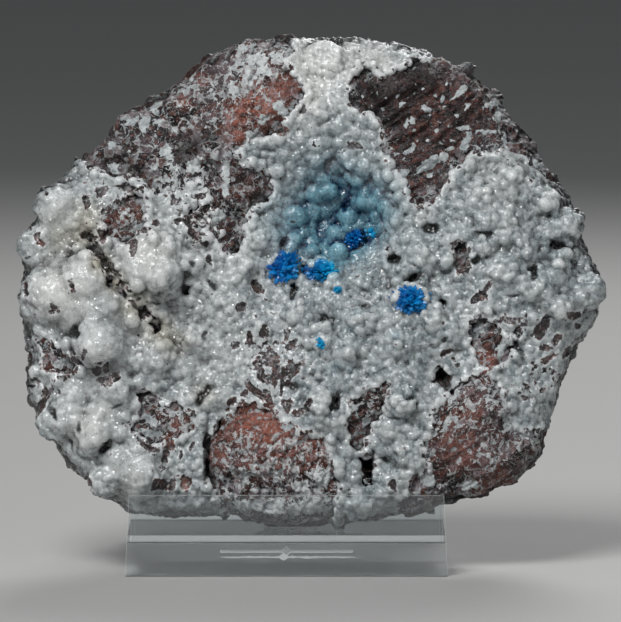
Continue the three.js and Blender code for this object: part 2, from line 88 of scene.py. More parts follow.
# Rusty stains: across, up, reach, strength.
RUSTY = [
    (-20.5, 123.4, 3.2, 1.2), (-16.2, 127.1, 4.4, 0.8), (-11.1, 128.3, 4.4, 0.75), (-8.1, 119.6, 1.9, 1.3),
    (-20.3, 117.7, 2.0, 0.9), (-13.7, 123.7, 2.9, 0.5), (-35.8, 127.7, 2.0, 0.8), (-30.5, 133.6, 1.7, 0.7),
    (-6.4, 133.4, 3.9, 0.5), (-17.9, 102.8, 2.9, 0.35), (-48.4, 98.4, 2.7, 0.35), (-52.7, 93.3, 3.6, 0.45),
    (-73.8, 52.4, 2.7, 0.6), (-74.9, 88.2, 1.3, 0.6), (-36.9, 38.0, 4.5, 0.4), (-39.2, 32.9, 1.8, 0.7),
    (-34.9, 21.2, 2.2, 1), (-17.7, 38.1, 6.6, 0.75), (-10.6, 36.8, 6.6, 0.85), (0.1, 30.2, 5.6, 0.6),
    (-25.6, 28.8, 3.6, 0.6), (-8.8, 27.9, 3.1, 0.6), (-16.3, 26.2, 3.6, 0.4), (46.1, 57.2, 2.5, 1.1),
    (48.0, 54.7, 3.6, 1), (44.1, 41.9, 3.1, 0.7), (40.1, 31.3, 4.6, 0.55), (45.4, 30.4, 6.6, 0.3),
    (53.4, 22.9, 3.1, 0.6), (47.6, 19.3, 3.1, 0.6), (66.2, 56.5, 2.0, 0.6), (13.8, 35.5, 3.1, 0.3),
]
# Nearly black basalt without veins.
DARK = [
    (-33.6, 115.2, 4.4, 1), (-36.6, 111.8, 2.9, 0.8), (-29.0, 118.1, 2.9, 0.6), (-52.3, 112.2, 6.4, 0.6),
    (-56.2, 110.1, 2.9, 0.7), (-48.9, 107.9, 3.9, 0.5), (-27.7, 107.9, 2.4, 0.8), (-29.4, 128.8, 2.4, 0.6),
    (-25.1, 131.3, 1.5, 0.8), (-18.3, 101.1, 6.4, 0.45), (-20.5, 108.3, 2.9, 0.6), (-29.0, 96.9, 3.4, 0.7),
    (-31.5, 102.8, 2.2, 0.5), (-20.5, 92.2, 3.9, 0.3), (-40.4, 126.2, 1.2, 0.7), (-14.1, 100.3, 2.9, 0.9),
    (14.3, 130.0, 3.7, 0.8), (20.7, 129.0, 5.8, 0.8), (27.7, 129.0, 4.8, 0.7), (30.4, 136.4, 3.2, 0.9),
    (17.1, 124.4, 3.2, 0.6), (32.7, 133.6, 3.2, 0.6), (21.7, 121.7, 3.2, 0.6), (29.4, 134.9, 3.7, 0.8),
    (-31.8, 24.3, 4.0, 1), (-29.4, 31.7, 2.7, 1), (-29.1, 22.4, 2.7, 1), (55.6, 25.5, 3.1, 0.5),
    (40.1, 21.5, 4.1, 0.5), (60.4, 29.9, 2.5, 0.8), (58.6, 116.8, 2.4, 0.6), (67.1, 105.1, 3.1, 0.6),
]
# Greyish lilac, glassy basalt.
LILAC = [
    (-46.0, 116.0, 2.9, 0.8), (-26.4, 136.4, 3.9, 0.8), (-24.7, 134.3, 2.4, 0.7), (-54.5, 116.9, 2.9, 0.5),
    (-34.9, 132.2, 2.9, 0.5), (-12.4, 141.9, 4.4, 0.5), (-26.8, 126.2, 2.9, 0.5), (50.1, 113.6, 3.4, 1),
    (48.0, 32.6, 6.6, 0.7), (42.3, 29.9, 4.6, 0.5), (62.2, 43.7, 4.1, 0.7), (46.7, 47.7, 4.6, 0.8),
    (63.5, 37.0, 4.1, 0.7), (-17.7, 30.2, 4.6, 0.6), (-24.3, 25.7, 4.1, 0.5), (-4.4, 31.1, 3.1, 0.5),
    (23.0, 132.3, 3.2, 0.5), (40.6, 133.3, 3.7, 0.4),
]
# White patches and flecks on the basalt: across, up, half length, half width, turn in degrees.
WHITE = [
    (-32.9, 134.3, 1.6, 1.0, 80), (-43.2, 126.2, 2.2, 1.4, 40), (-49.6, 121.7, 2.3, 1.1, 30),
    (-46.3, 120.9, 2.6, 1.3, 95), (-42.4, 122.0, 1.7, 0.8, 0), (-40.0, 113.5, 2.0, 1.8, 60),
    (-32.4, 109.8, 3.2, 1.9, 20), (-38.3, 109.0, 1.7, 1.3, 0), (-23.8, 107.9, 5.3, 1.1, 88),
    (-34.9, 104.5, 3.2, 0.5, 95), (-39.4, 102.6, 2.8, 0.9, 20), (-40.4, 105.4, 1.7, 0.7, 0),
    (-16.9, 133.4, 2.6, 1.6, 60), (-15.8, 139.0, 3.8, 1.7, 10), (-19.2, 142.4, 2.1, 1.3, 0),
    (-9.8, 139.8, 2.6, 1.5, -40), (-12.8, 136.0, 2.6, 1.7, -20), (-21.3, 130.5, 3.0, 1.5, 100),
    (-8.6, 125.4, 2.6, 1.5, -60), (-13.7, 122.4, 1.7, 1.3, 80), (-15.8, 116.9, 3.4, 1.7, -30),
    (-19.2, 113.5, 1.7, 1.3, 20), (-55.1, 115.4, 1.4, 1.0, 0), (-50.6, 113.5, 0.6, 0.5, 0),
    (-43.8, 109.4, 1.0, 0.9, 0), (-54.7, 109.0, 1.7, 1.4, 90), (-57.0, 102.4, 2.6, 1.1, 10),
    (-30.5, 104.5, 2.6, 0.9, 80), (-34.9, 100.3, 2.6, 1.5, -20), (-23.9, 102.4, 1.7, 1.1, 80),
    (-26.0, 95.2, 2.6, 1.5, 60), (-29.0, 120.3, 1.1, 0.5, 30), (-37.7, 119.6, 1.1, 0.7, 0),
    (-27.7, 130.7, 1.3, 0.4, 60), (-26.0, 127.5, 1.9, 0.4, -60), (32.0, 109.7, 3.9, 1.3, 38),
    (40.8, 129.5, 3.2, 0.8, 38), (42.2, 120.3, 2.1, 0.8, 8), (42.9, 125.8, 1.0, 0.7, 90),
    (32.0, 125.1, 1.6, 0.8, -15), (25.4, 127.0, 1.0, 0.6, 20), (28.1, 122.3, 1.3, 0.7, 90),
    (26.4, 121.7, 1.6, 0.6, 80), (26.5, 113.6, 1.2, 0.7, 20), (28.2, 114.7, 1.3, 0.6, 80),
    (25.8, 107.4, 1.8, 1.4, 20), (36.6, 112.2, 1.3, 1.2, 90), (32.7, 106.9, 0.9, 0.7, 0),
    (34.6, 118.9, 0.9, 0.6, 20), (28.8, 119.4, 0.4, 0.4, 0), (32.2, 116.1, 0.4, 0.4, 0),
    (40.3, 123.5, 0.8, 0.6, 80), (38.0, 114.3, 0.9, 0.6, 20), (39.2, 116.6, 0.6, 0.5, 0),
    (22.6, 114.7, 0.6, 0.6, 0), (23.5, 113.1, 0.7, 0.6, 0), (14.5, 129.0, 0.4, 0.3, 0),
    (20.7, 128.1, 0.5, 0.4, 0), (36.2, 128.1, 0.9, 0.6, 80), (38.9, 109.2, 0.9, 0.7, 0),
    (42.6, 115.7, 2.5, 1.2, 70), (49.9, 126.6, 2.7, 0.9, 20), (42.9, 125.8, 1.0, 0.6, 90),
    (50.1, 130.6, 1.9, 0.7, -50), (51.7, 123.7, 2.7, 1.1, 60), (48.8, 119.0, 4.3, 0.6, 0),
    (42.9, 116.3, 3.2, 0.9, 65), (53.7, 115.2, 3.7, 0.6, -75), (46.4, 114.7, 1.3, 0.7, 30),
    (28.6, 119.5, 0.5, 0.4, 0), (26.5, 113.6, 1.0, 0.7, 0), (28.3, 114.4, 1.1, 0.5, 70),
    (37.9, 114.2, 1.2, 0.5, 0), (36.7, 112.3, 1.2, 1.0, 90), (32.8, 107.0, 1.1, 0.9, 0),
    (34.7, 119.2, 0.7, 0.6, 0), (32.3, 116.3, 0.5, 0.5, 0), (61.8, 110.4, 2.7, 0.7, -65),
    (58.6, 118.1, 0.7, 0.5, 0), (64.2, 107.0, 0.7, 0.5, 0), (40.3, 123.7, 0.6, 0.5, 0),
    (36.8, 125.8, 0.5, 0.5, 20), (34.2, 129.0, 0.5, 0.5, 20), (37.4, 132.2, 0.6, 0.5, 20),
    (31.0, 131.1, 0.5, 0.5, 20), (-11.9, 31.5, 1.4, 0.8, 10), (-6.1, 37.9, 2.2, 1.4, 30),
    (15.1, 39.0, 2.2, 1.2, 45), (3.6, 23.5, 3.3, 2.2, 30), (-2.6, 20.9, 2.7, 1.4, 20),
    (-18.5, 22.6, 2.7, 1.1, 80), (-23.9, 23.1, 2.0, 0.6, -40), (-8.8, 24.8, 1.8, 0.6, 40),
    (-0.4, 36.8, 2.2, 0.5, -30), (-19.9, 30.6, 1.1, 0.5, 0), (54.7, 41.5, 6.2, 2.0, 88),
    (32.5, 23.3, 2.7, 1.9, 80), (43.6, 21.1, 2.7, 1.2, 20), (38.3, 38.8, 1.8, 0.7, 20),
    (33.4, 34.8, 2.2, 0.8, 40), (51.6, 47.7, 2.2, 0.6, 60), (57.8, 44.1, 1.3, 0.9, 60),
    (41.8, 47.7, 1.3, 0.7, 20), (39.6, 44.1, 1.1, 0.5, -30), (-44.3, 39.1, 3.0, 1.2, -30),
    (-44.8, 35.6, 3.0, 1.3, 0), (-41.2, 42.5, 2.0, 0.9, 40), (-37.9, 41.3, 1.5, 0.7, -20),
    (-56.5, 99.4, 3.0, 1.4, 45), (-47.4, 92.3, 2.6, 1.5, -20), (-51.0, 96.2, 2.4, 0.5, -30),
    (46.3, 63.8, 2.5, 0.9, 20), (52.4, 58.6, 2.0, 1.2, 60), (47.4, 58.0, 1.8, 0.5, -30),
    (-14.0, 15.5, 9.0, 1.9, 0), (-2.0, 15.0, 7.0, 1.9, 5), (-22.0, 14.0, 5.0, 1.4, -10),
    (-12.0, 20.0, 3.0, 0.6, 50), (-7.0, 18.5, 2.5, 0.5, -40),
]
# Low in the middle, coarse fibres of the basalt fan out from one foot over a patch: both across and up.
FAN_FOOT = (-19.0, 25.0)
FAN_REACH = (-9.0, 36.0, 13.0, 1.2)
# Smaller white flecks are scattered over the upper right basalt, across and up, along its grain.
FLECK_COUNT = 130
FLECK_ACROSS, FLECK_UP = (14, 64), (98, 139)
FLECK_LENGTHS, FLECK_WIDTHS, FLECK_TURN = (0.2, 0.6), (0.18, 0.4), (38, 25)
# Holes and slots between the balls and fragments, sunk in and painted black as shade.
PITS = [
    (-63.6, 90.8, 1.2, 0.8, 30), (-60.5, 82.0, 1.4, 0.5, -60), (-55.8, 77.1, 0.9, 0.5, -60),
    (-51.5, 74.1, 0.9, 0.5, -60), (-49.2, 71.1, 1.8, 0.8, -62), (-47.2, 67.2, 0.9, 0.6, -45),
    (-43.0, 64.4, 2.4, 0.5, -42), (-43.4, 71.4, 2.5, 0.6, 0), (-33.4, 82.4, 1.2, 0.9, -10),
    (-27.8, 76.8, 2.4, 0.9, -50), (-65.8, 63.7, 2.3, 1.4, 80), (-29.7, 62.5, 1.8, 0.8, 80),
    (-28.9, 47.3, 1.8, 0.9, 80), (-29.3, 28.6, 9.7, 1.0, 88), (-25.9, 38.0, 1.9, 0.6, 60),
    (-71.5, 41.0, 3.0, 1.0, -62), (-64.5, 37.2, 2.4, 0.6, 80), (-66.5, 32.0, 2.4, 0.5, -80),
    (-57.1, 31.7, 2.7, 1.0, 62), (-54.0, 43.0, 2.3, 0.6, 30), (-30.8, 45.0, 2.3, 1.2, 75),
    (0.1, 51.5, 1.2, 0.6, -20), (-4.8, 48.4, 1.5, 1.2, 0), (6.7, 43.9, 2.7, 1.6, 80),
    (-5.0, 74.5, 2.7, 1.2, 80), (3.6, 67.2, 1.5, 1.2, 20), (15.8, 25.7, 5.3, 1.7, 84),
    (7.6, 33.9, 0.5, 0.4, 0), (-29.8, 59.0, 0.9, 0.4, 0), (37.1, 49.9, 3.5, 1.2, -75),
    (57.1, 59.6, 4.9, 0.8, -68), (60.8, 51.9, 0.8, 0.6, 0), (37.0, 61.8, 1.2, 0.9, 60),
    (33.2, 59.8, 0.9, 0.5, 0), (26.3, 44.9, 3.1, 0.5, 12), (14.4, 70.9, 0.9, 0.6, 0),
    (33.1, 92.3, 2.7, 1.4, -8), (61.8, 80.1, 2.8, 1.0, 85), (67.9, 88.4, 2.7, 0.9, -20),
    (48.0, 91.0, 3.2, 0.6, -4), (56.0, 73.7, 2.7, 0.6, 10), (50.7, 69.0, 2.1, 0.6, -50),
    (45.6, 83.8, 2.1, 1.2, 60), (36.6, 72.1, 1.3, 0.7, -40), (22.8, 83.7, 2.2, 1.5, -10),
    (14.3, 91.5, 1.0, 1.2, 90), (4.6, 109.2, 2.8, 1.2, 80), (9.5, 98.6, 2.8, 1.0, 80),
    (-7.8, 88.0, 2.3, 1.2, 60), (20.3, 102.5, 1.8, 0.6, 0), (12.9, 89.2, 4.1, 1.4, 10),
    (8.8, 113.6, 1.1, 0.6, 60), (5.5, 135.8, 1.9, 0.4, 0), (14.3, 138.3, 0.6, 0.6, 0),
    (29.0, 78.8, 2.8, 1.2, 30), (-2.3, 81.1, 1.8, 1.2, 20),
]
# The blue tint that the cavansite gives the crust, and the stone in its gaps; in the crevices of the tinted
# crust a painted shade turns it deep teal.
TINTED = [
    (8.0, 94.9, 10.5, 1), (5.3, 105.0, 8, 0.6), (-3.1, 93.3, 8, 0.8), (5.0, 87.5, 6, 0.6),
    (16.3, 98.9, 7, 0.75), (10.7, 87.8, 5, 0.6), (6.0, 81.4, 3, 0.6), (16.6, 91.3, 3, 0.6),
    (6.6, 53.6, 1.6, 0.5), (10.7, 64.1, 1.2, 0.35), (23.2, 62.7, 1.3, 0.4), (12.7, 69.1, 1.0, 0.3),
    (10.7, 53.1, 1.2, 0.35), (-5.2, 84.7, 3, 0.3),
]


def merged_copy(name):
    """The shape of a solid of the frame with its loose triangles joined."""
    shape = bmesh.new()
    shape.from_mesh(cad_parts[name].data)
    bmesh.ops.remove_doubles(shape, verts=shape.verts, dist=1e-6)
    return shape


def new_piece(name, shape):
    """An object that holds a bmesh, which is used up."""
    mesh = bpy.data.meshes.new(name)
    shape.to_mesh(mesh)
    shape.free()
    piece = bpy.data.objects.new(name, mesh)
    bpy.context.scene.collection.objects.link(piece)
    return piece


def grown_together(shape, square, smoothings):
    """One closed skin of small even squares round all the bodies of a bmesh, as a new bmesh."""
    rough = new_piece("rough", shape)
    skin = rough.modifiers.new("skin", "REMESH")
    skin.mode = "VOXEL"
    skin.voxel_size = square
    soften = rough.modifiers.new("soften", "SMOOTH")
    soften.factor = 0.5
    soften.iterations = smoothings
    seen_rough = rough.evaluated_get(bpy.context.evaluated_depsgraph_get())
    grown = bmesh.new()
    grown.from_mesh(seen_rough.data)
    bpy.data.objects.remove(rough)
    return grown


def thinned(piece, hidden, triangles):
    """Leaves a piece so many triangles, and takes the others from where it is hidden."""
    piece.vertex_groups.new(name="hidden").add(np.flatnonzero(hidden).tolist(), 1, "REPLACE")
    piece.data.calc_loop_triangles()
    thin = piece.modifiers.new("thin", "DECIMATE")
    thin.vertex_group = "hidden"
    thin.ratio = min(1, triangles / len(piece.data.loop_triangles))
    lighter = bpy.data.meshes.new_from_object(piece.evaluated_get(bpy.context.evaluated_depsgraph_get()))
    piece.modifiers.clear()
    piece.vertex_groups.clear()
    piece.data = lighter
    piece.data.shade_smooth()


def vectors_of(rows, key):
    flat = np.empty(len(rows) * 3)
    rows.foreach_get(key, flat)
    return flat.reshape(-1, 3)


def points_of(mesh):
    return vectors_of(mesh.vertices, "co")


def normals_of(mesh):
    return vectors_of(mesh.vertex_normals, "vector")


def paint(mesh, **numbers):
    """Keeps a number a vertex under each name, for the material to read."""
    for name, values in numbers.items():
        layer = mesh.attributes.new(name, "FLOAT", "POINT")
        layer.data.foreach_set("value", np.full(len(mesh.vertices), values, dtype=np.float32))


def seen(points):
    """How far across and up each point lies for the eye, in millimetres."""
    way = points - np.array(EYE)
    scale = EYE_DISTANCE / MM / (way @ np.array(LOOK))
    up = way @ np.array(EYE_UP) * scale
    return np.stack([way[:, 0] * scale + MIDDLE.x / MM, up + MIDDLE.z / MM], axis=1)


def sight(across, up):
    """The line of sight to a place: a point on it before the stone, and its direction."""
    target = MIDDLE + Vector((across * MM - MIDDLE.x, 0, 0)) + EYE_UP * (up * MM - MIDDLE.z)
    direction = (target - EYE).normalized()
    return EYE + direction * 0.9 * EYE_DISTANCE, direction


def lot(cell, seed):
    """A random number from 0 to 1 for each whole-numbered cell of space."""
    mixed = cell[:, 0] * 374761393 + cell[:, 1] * 668265263 + cell[:, 2] * 1103515245 + seed * 974634777
    mixed = mixed & 0xFFFFFFFF
    mixed = ((mixed ^ (mixed >> 13)) * 1274126177) & 0xFFFFFFFF
    return ((mixed ^ (mixed >> 16)) & 0xFFFFFF) / 0xFFFFFF


def swell(points, size, seed):
    """Smooth noise from -1 to 1, with its hills about one size apart."""
    place = points / size
    home = np.floor(place).astype(np.int64)
    part = place - home
    ease = part * part * (3 - 2 * part)
    total = np.zeros(len(points))
    for step in itertools.product((0, 1), repeat=3):
        share = np.prod(np.where(step, ease, 1 - ease), axis=1)
        total += share * lot(home + step, seed)
    return 2 * total - 1


def rough_swell(points, size, seed, octaves=3):
    return sum(swell(points, size / 2 ** n, seed + 11 * n) / 2 ** n for n in range(octaves))


def chips(points, size, seed):
    """Each point's nearest random centre: its distance and the next one's, in sizes, the way from it, and
    its lot."""
    place = points / size
    home = np.floor(place).astype(np.int64)
    near = np.full(len(points), 9.0)
    far = np.full(len(points), 9.0)
    way = np.zeros((len(points), 3))
    chosen = np.zeros(len(points))
    for step in itertools.product((-1, 0, 1), repeat=3):
        cell = home + step
        offset = place - cell - np.stack([lot(cell, seed + axis) for axis in range(3)], axis=1)
        distance = np.linalg.norm(offset, axis=1)
        closer = distance < near
        far = np.where(closer, near, np.minimum(far, distance))
        near = np.where(closer, distance, near)
        way[closer] = offset[closer]
        chosen[closer] = lot(cell, seed + 5)[closer]
    return near, far, way, chosen


def blobs(places, rows):
    """How strongly the soft round patches of a list lie at each place."""
    total = np.zeros(len(places))
    for across, up, reach, strength in rows:
        apart = (places[:, 0] - across) ** 2 + (places[:, 1] - up) ** 2
        total += strength * np.exp(-apart / reach ** 2)
    return np.clip(total, 0, 1)


def beside_line(across, up, turn):
    """Turns ways across and up into ways along and beside a line that climbs by so many degrees."""
    angle = math.radians(turn)
    return across * math.cos(angle) + up * math.sin(angle), up * math.cos(angle) - across * math.sin(angle)


def inside_flakes(places, rows, wander=0.35):
    """How deep each place lies inside a list of small ragged flakes, in millimetres, below 0 outside."""
    flat = np.column_stack([places, np.zeros(len(places))])
    places = places + wander * np.stack([swell(flat, 1.3, 71), swell(flat, 1.3, 72)], axis=1)
    deepest = np.full(len(places), -2.0)
    for across, up, half_length, half_width, turn in rows:
        room = max(half_length, half_width) * 1.5 + 2
        near = np.flatnonzero(np.abs(places - (across, up)).max(axis=1) < room)
        along, aside = beside_line(*(places[near] - (across, up)).T, turn)
        along, aside = along / half_length, aside / half_width
        taper = 0.5 * math.sin(across * 12.9 + up * 7.3)  # each flake has a shape of its own
        lean = 0.3 * math.sin(across * 5.1 - up * 9.7)
        aside = (aside - lean * along) / (1 + taper * along).clip(0.4)
        inner = 1 - (np.abs(along) ** 3 + np.abs(aside) ** 3) ** (1 / 3)
        deepest[near] = np.maximum(deepest[near], inner * min(half_length, half_width))
    return deepest


crust_tree = BVHTree.FromBMesh(merged_copy("zeolite_crust"))
matrix_tree = BVHTree.FromBMesh(merged_copy("basalt_matrix"))


def is_bare(point):
    """True if no crust lies between the eye and a point of the stone."""
    way = (EYE - point).normalized()
    return crust_tree.ray_cast(point + way * 0.05 * MM, way)[0] is None


def shows_stone(across, up):
    """True where the eye sees the bare stone."""
    start, direction = sight(across, up)
    crust = crust_tree.ray_cast(start, direction)[3]
    stone = matrix_tree.ray_cast(start, direction)[3]
    return stone is not None and (crust is None or stone < crust)


sprays = {}  # the middle and the radius of each cavansite ball
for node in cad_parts:
    if node.startswith("cavansite"):
        low_corner, high_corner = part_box(node)
        middle = (Vector(low_corner) + Vector(high_corner)) / 2
        sprays[node] = middle, (high_corner[0] - low_corner[0]) / 2

# A map of the front in small squares: 0 where the stone is bare and 1 elsewhere, also round the cavansite.
MAP_SQUARE = 0.7  # mm
MAP_LOW = np.array([-86.0, 4.0])
map_size = (np.array([172.0, 142.0]) / MAP_SQUARE).astype(int)
crusted = np.ones(map_size)
for column, row in itertools.product(*map(range, map_size)):
    centre = MAP_LOW + MAP_SQUARE * np.array([column + 0.5, row + 0.5])
    crusted[column, row] = not shows_stone(*centre.tolist())
for middle, reach in sprays.values():
    apart = np.indices(map_size).transpose(1, 2, 0) * MAP_SQUARE + MAP_LOW - seen(np.array([middle]))
    crusted[np.linalg.norm(apart, axis=2) < reach / MM + SPRAY_ROOM] = 1


def blurred(grid, rounds):
    for _ in range(rounds):
        padded = np.pad(grid, 1, mode="edge")
        grid = sum(padded[a:a + grid.shape[0], b:b + grid.shape[1]] for a in range(3) for b in range(3)) / 9
    return grid


def map_cell(places):
    cell = np.clip(((places - MAP_LOW) / MAP_SQUARE).astype(int), 0, map_size - 1)
    return cell[:, 0], cell[:, 1]


def on_map(grid, places):
    """The value of a map at each place, eased from square to square."""
    cell = np.clip((places - MAP_LOW) / MAP_SQUARE - 0.5, 0, map_size - 1.001)
    (column, row), (u, v) = cell.astype(int).T, (cell % 1).T
    low = grid[column, row] * (1 - u) + grid[column + 1, row] * u
    high = grid[column, row + 1] * (1 - u) + grid[column + 1, row + 1] * u
    return low * (1 - v) + high * v


matrix_shape = grown_together(merged_copy("basalt_matrix"), MATRIX_SQUARE, 1)
bare_verts = {vert for vert in matrix_shape.verts if vert.normal.y < 0.1 and is_bare(vert.co)}
bare_faces = [face for face in matrix_shape.faces if any(vert in bare_verts for vert in face.verts)]
bare_edges = list({edge for face in bare_faces for edge in face.edges})
bmesh.ops.subdivide_edges(matrix_shape, edges=bare_edges, cuts=2, use_grid_fill=True)
bmesh.ops.triangulate(matrix_shape, faces=[face for face in matrix_shape.faces if len(face.verts) > 4])
matrix_shape.verts.index_update()
covered = [vert.normal.y < 0.1 and not is_bare(vert.co) for vert in matrix_shape.verts]
matrix = new_piece("matrix", matrix_shape)
thinned(matrix, covered, MATRIX_TRIANGLES)

spots = points_of(matrix.data)
places = seen(spots)
facing = np.clip(-normals_of(matrix.data)[:, 1] * 1.6, 0, 1)
turned = np.stack([
    (spots[:, 0] * math.cos(GRAIN_TURN) + spots[:, 2] * math.sin(GRAIN_TURN)) / 6,
    spots[:, 1] / 2,
    spots[:, 2] * math.cos(GRAIN_TURN) - spots[:, 0] * math.sin(GRAIN_TURN),
], axis=1)
_, _, way, chosen = chips(spots, CHIP, 3)
broken = 1.4 * MM * (chosen - 0.5) + 1.1 * MM * way[:, 2] + 0.6 * MM * rough_swell(spots, 3 * MM, 21)
_, _, way, chosen = chips(spots, BROAD_CHIP, 13)
broken += 1.8 * MM * (chosen - 0.5) + 1.2 * MM * way[:, 0]
netted = blobs(places, NETTED)
fan_way = places - FAN_FOOT
fan_turns = np.arctan2(fan_way[:, 1], fan_way[:, 0]) * 14
fan_rows = np.stack([fan_turns, np.linalg.norm(fan_way, axis=1) / 9, np.zeros(len(places))], axis=1)
fibres = rough_swell(fan_rows, 1, 45) * blobs(places, [FAN_REACH])
pits = np.clip(inside_flakes(places, PITS) / 0.5, -1, 1)
near, far, way, chosen = chips(spots, FRAGMENT, 31)
fragments = 1.1 * MM * (chosen - 0.5) + 0.9 * MM * way[:, 0] - 0.3 * MM * (far - near < 0.12)
grain = 1.5 * MM * (0.5 - np.abs(rough_swell(turned, 2.4 * MM, 41))) + 0.25 * MM * swell(spots, 0.9 * MM, 43)
flecks = inside_flakes(places, WHITE)
windows = netted * fragments + (1 - netted) * grain + 0.45 * MM * fibres
windows += 0.25 * MM * np.clip(flecks / 0.3 + 0.5, 0, 1)
windows -= PIT_DEPTH * np.clip(pits + 0.5, 0, 1)
under_crust = np.clip(on_map(blurred(crusted, 3), places) * 4 - 3, 0, 1)
windows = windows * (1 - under_crust) - COVERED_SINK * under_crust
heights = facing * windows + (1 - facing) * broken

# Where the easel stands, as far as the stone has to keep clear of it.
STAND_X = -6.6 * MM
STAND_HALF = 44.5 * MM
PLATE_TOP, PLATE_BACK, PLATE_LEAN = 22.5 * MM, -41.43 * MM, 0.109
SHELF_TOP = 10.9 * MM
REST_TOP, REST_FOOT, REST_LEAN = 86 * MM, -2.43 * MM, 0.2125
CLEARANCE = 0.15 * MM


def raise_surface(mesh, heights):
    """Moves each vertex out along its normal by its own height."""
    mesh.vertices.foreach_set("co", (points_of(mesh) + normals_of(mesh) * heights[:, None]).ravel())
    mesh.update()


def keep_off_stand(mesh):
    """Holds a stone's surface behind the easel's front plate, above its shelf and before its back rest."""
    spots = points_of(mesh)
    held = np.abs(spots[:, 0] - STAND_X) < STAND_HALF
    low = held & (spots[:, 2] < PLATE_TOP)
    plate_back = PLATE_BACK + PLATE_LEAN * spots[:, 2] + CLEARANCE
    spots[low, 1] = np.maximum(spots[low, 1], plate_back[low])
    spots[held, 2] = np.maximum(spots[held, 2], SHELF_TOP + CLEARANCE)
    behind = held & (spots[:, 2] < REST_TOP)
    rest_front = REST_FOOT + REST_LEAN * (spots[:, 2] - SHELF_TOP) - CLEARANCE
    spots[behind, 1] = np.minimum(spots[behind, 1], rest_front[behind])
    mesh.vertices.foreach_set("co", spots.ravel())
    mesh.update()


raise_surface(matrix.data, heights)
keep_off_stand(matrix.data)

luck = random.Random(5)
small_flecks = [
    (luck.uniform(*FLECK_ACROSS), luck.uniform(*FLECK_UP), luck.uniform(*FLECK_LENGTHS),
     luck.uniform(*FLECK_WIDTHS), luck.gauss(*FLECK_TURN))
    for _ in range(FLECK_COUNT)
]
flecks = np.maximum(flecks, inside_flakes(places, small_flecks, 0.15))
front = facing > 0.2
tinted = blobs(places, TINTED)
weathered = np.clip(rough_swell(spots, 22 * MM, 25) * 0.9, 0, 0.5)  # the back and sides in broad patches
near_crust = np.clip(on_map(blurred(crusted, 24), places) * 2.2, 0, 1)
net_share = np.clip(netted + 0.7 * fibres + 0.55 * near_crust, 0, 1)
paint(
    matrix.data,
    bare=np.where(front, np.clip(-flecks - 4 * (tinted > 0.3), -1, 1), 1),
    netting=np.where(front, net_share, 0.08 + 0.5 * weathered),
    rust=np.where(front, blobs(places, RUSTY), np.clip(swell(spots, 17 * MM, 27), 0, 0.7)),
    lilac=blobs(places, LILAC) * front,
    dark=blobs(places, DARK) * front,
    blue=tinted,
    ochre=0,
    rim=0.2 + 0.6 * netted,
    pale=0,
)
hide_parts("basalt_matrix")
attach(matrix, "root")


def place(tree, kind, inputs=None, **settings):
    """Adds a node, sets its options, and feeds its inputs a number, a colour or another node's socket."""
    node = tree.nodes.new(kind)
    for name, value in settings.items():
        setattr(node, name, value)
    for name, value in (inputs or {}).items():
        if isinstance(value, bpy.types.NodeSocket):
            tree.links.new(value, node.inputs[name])
        else:
            node.inputs[name].default_value = value
    return node


def reckon(tree, operation, first, second=0.0, third=0.0):
    node = place(tree, "ShaderNodeMath", {0: first, 1: second, 2: third}, operation=operation)
    return node.outputs[0]


def times(tree, first, second):
    return reckon(tree, "MULTIPLY", first, second)


def light_values(colour):
    """A colour given as sRGB bytes, as the light values that a shader works with."""
    return tuple(((c / 255 + 0.055) / 1.055) ** 2.4 if c > 10 else c / 3294 for c in colour) + (1.0,)


def between(tree, share, first, second, blend="MIX"):
    """A colour between two, by a share from 0 to 1."""
    node = place(tree, "ShaderNodeMix", {0: share, 6: first, 7: second}, data_type="RGBA", blend_type=blend)
    return node.outputs[2]


def tint(tree, share, tone, colour):
    """Takes a tone towards a colour given as sRGB bytes, by a share from 0 to 1."""
    return between(tree, share, tone, light_values(colour))


def stretch(tree, value, low, high, to_low=0.0, to_high=1.0):
    """Eases a number from one range to another."""
    node = place(tree, "ShaderNodeMapRange", {0: value, 1: low, 2: high, 3: to_low, 4: to_high},
                 interpolation_type="SMOOTHSTEP")
    return node.outputs[0]


def new_group(name, inputs, outputs):
    """A shader node group with its sockets. Inputs are (name, kind, value) and outputs (name, kind)."""
    group = bpy.data.node_groups.new(name, "ShaderNodeTree")
    for label, kind, value in inputs:
        socket = group.interface.new_socket(label, in_out="INPUT", socket_type=kind)
        socket.default_value = value
    for label, kind in outputs:
        group.interface.new_socket(label, in_out="OUTPUT", socket_type=kind)
    return group, group.nodes.new("NodeGroupInput").outputs, group.nodes.new("NodeGroupOutput").inputs


def noise(tree, where, size, detail=2.0, roughness=0.5, distortion=0.0):
    """Noise whose lumps are about one size across."""
    return place(tree, "ShaderNodeTexNoise", {
        "Vector": where, "Scale": 1 / size, "Detail": detail, "Roughness": roughness,
        "Distortion": distortion}).outputs[0]


def cells(tree, where, size, feature, output):
    return place(tree, "ShaderNodeTexVoronoi", {"Vector": where, "Scale": 1 / size},
                 feature=feature).outputs[output]


def vectors(tree, operation, first, second):
    """Reckons with two vectors, or scales one by a number."""
    given = {0: first, "Scale" if operation == "SCALE" else 1: second}
    return place(tree, "ShaderNodeVectorMath", given, operation=operation).outputs[0]


def new_material(name, inputs):
    """A material whose main shader has the given numbers, with its node tree and that shader."""
    material = bpy.data.materials.new(name)
    material.use_nodes = True
    surface = material.node_tree.nodes["Principled BSDF"]
    for label, value in inputs.items():
        surface.inputs[label].default_value = value
    return material, material.node_tree, surface


FLOAT, COLOUR, PLACE = "NodeSocketFloat", "NodeSocketColor", "NodeSocketVector"

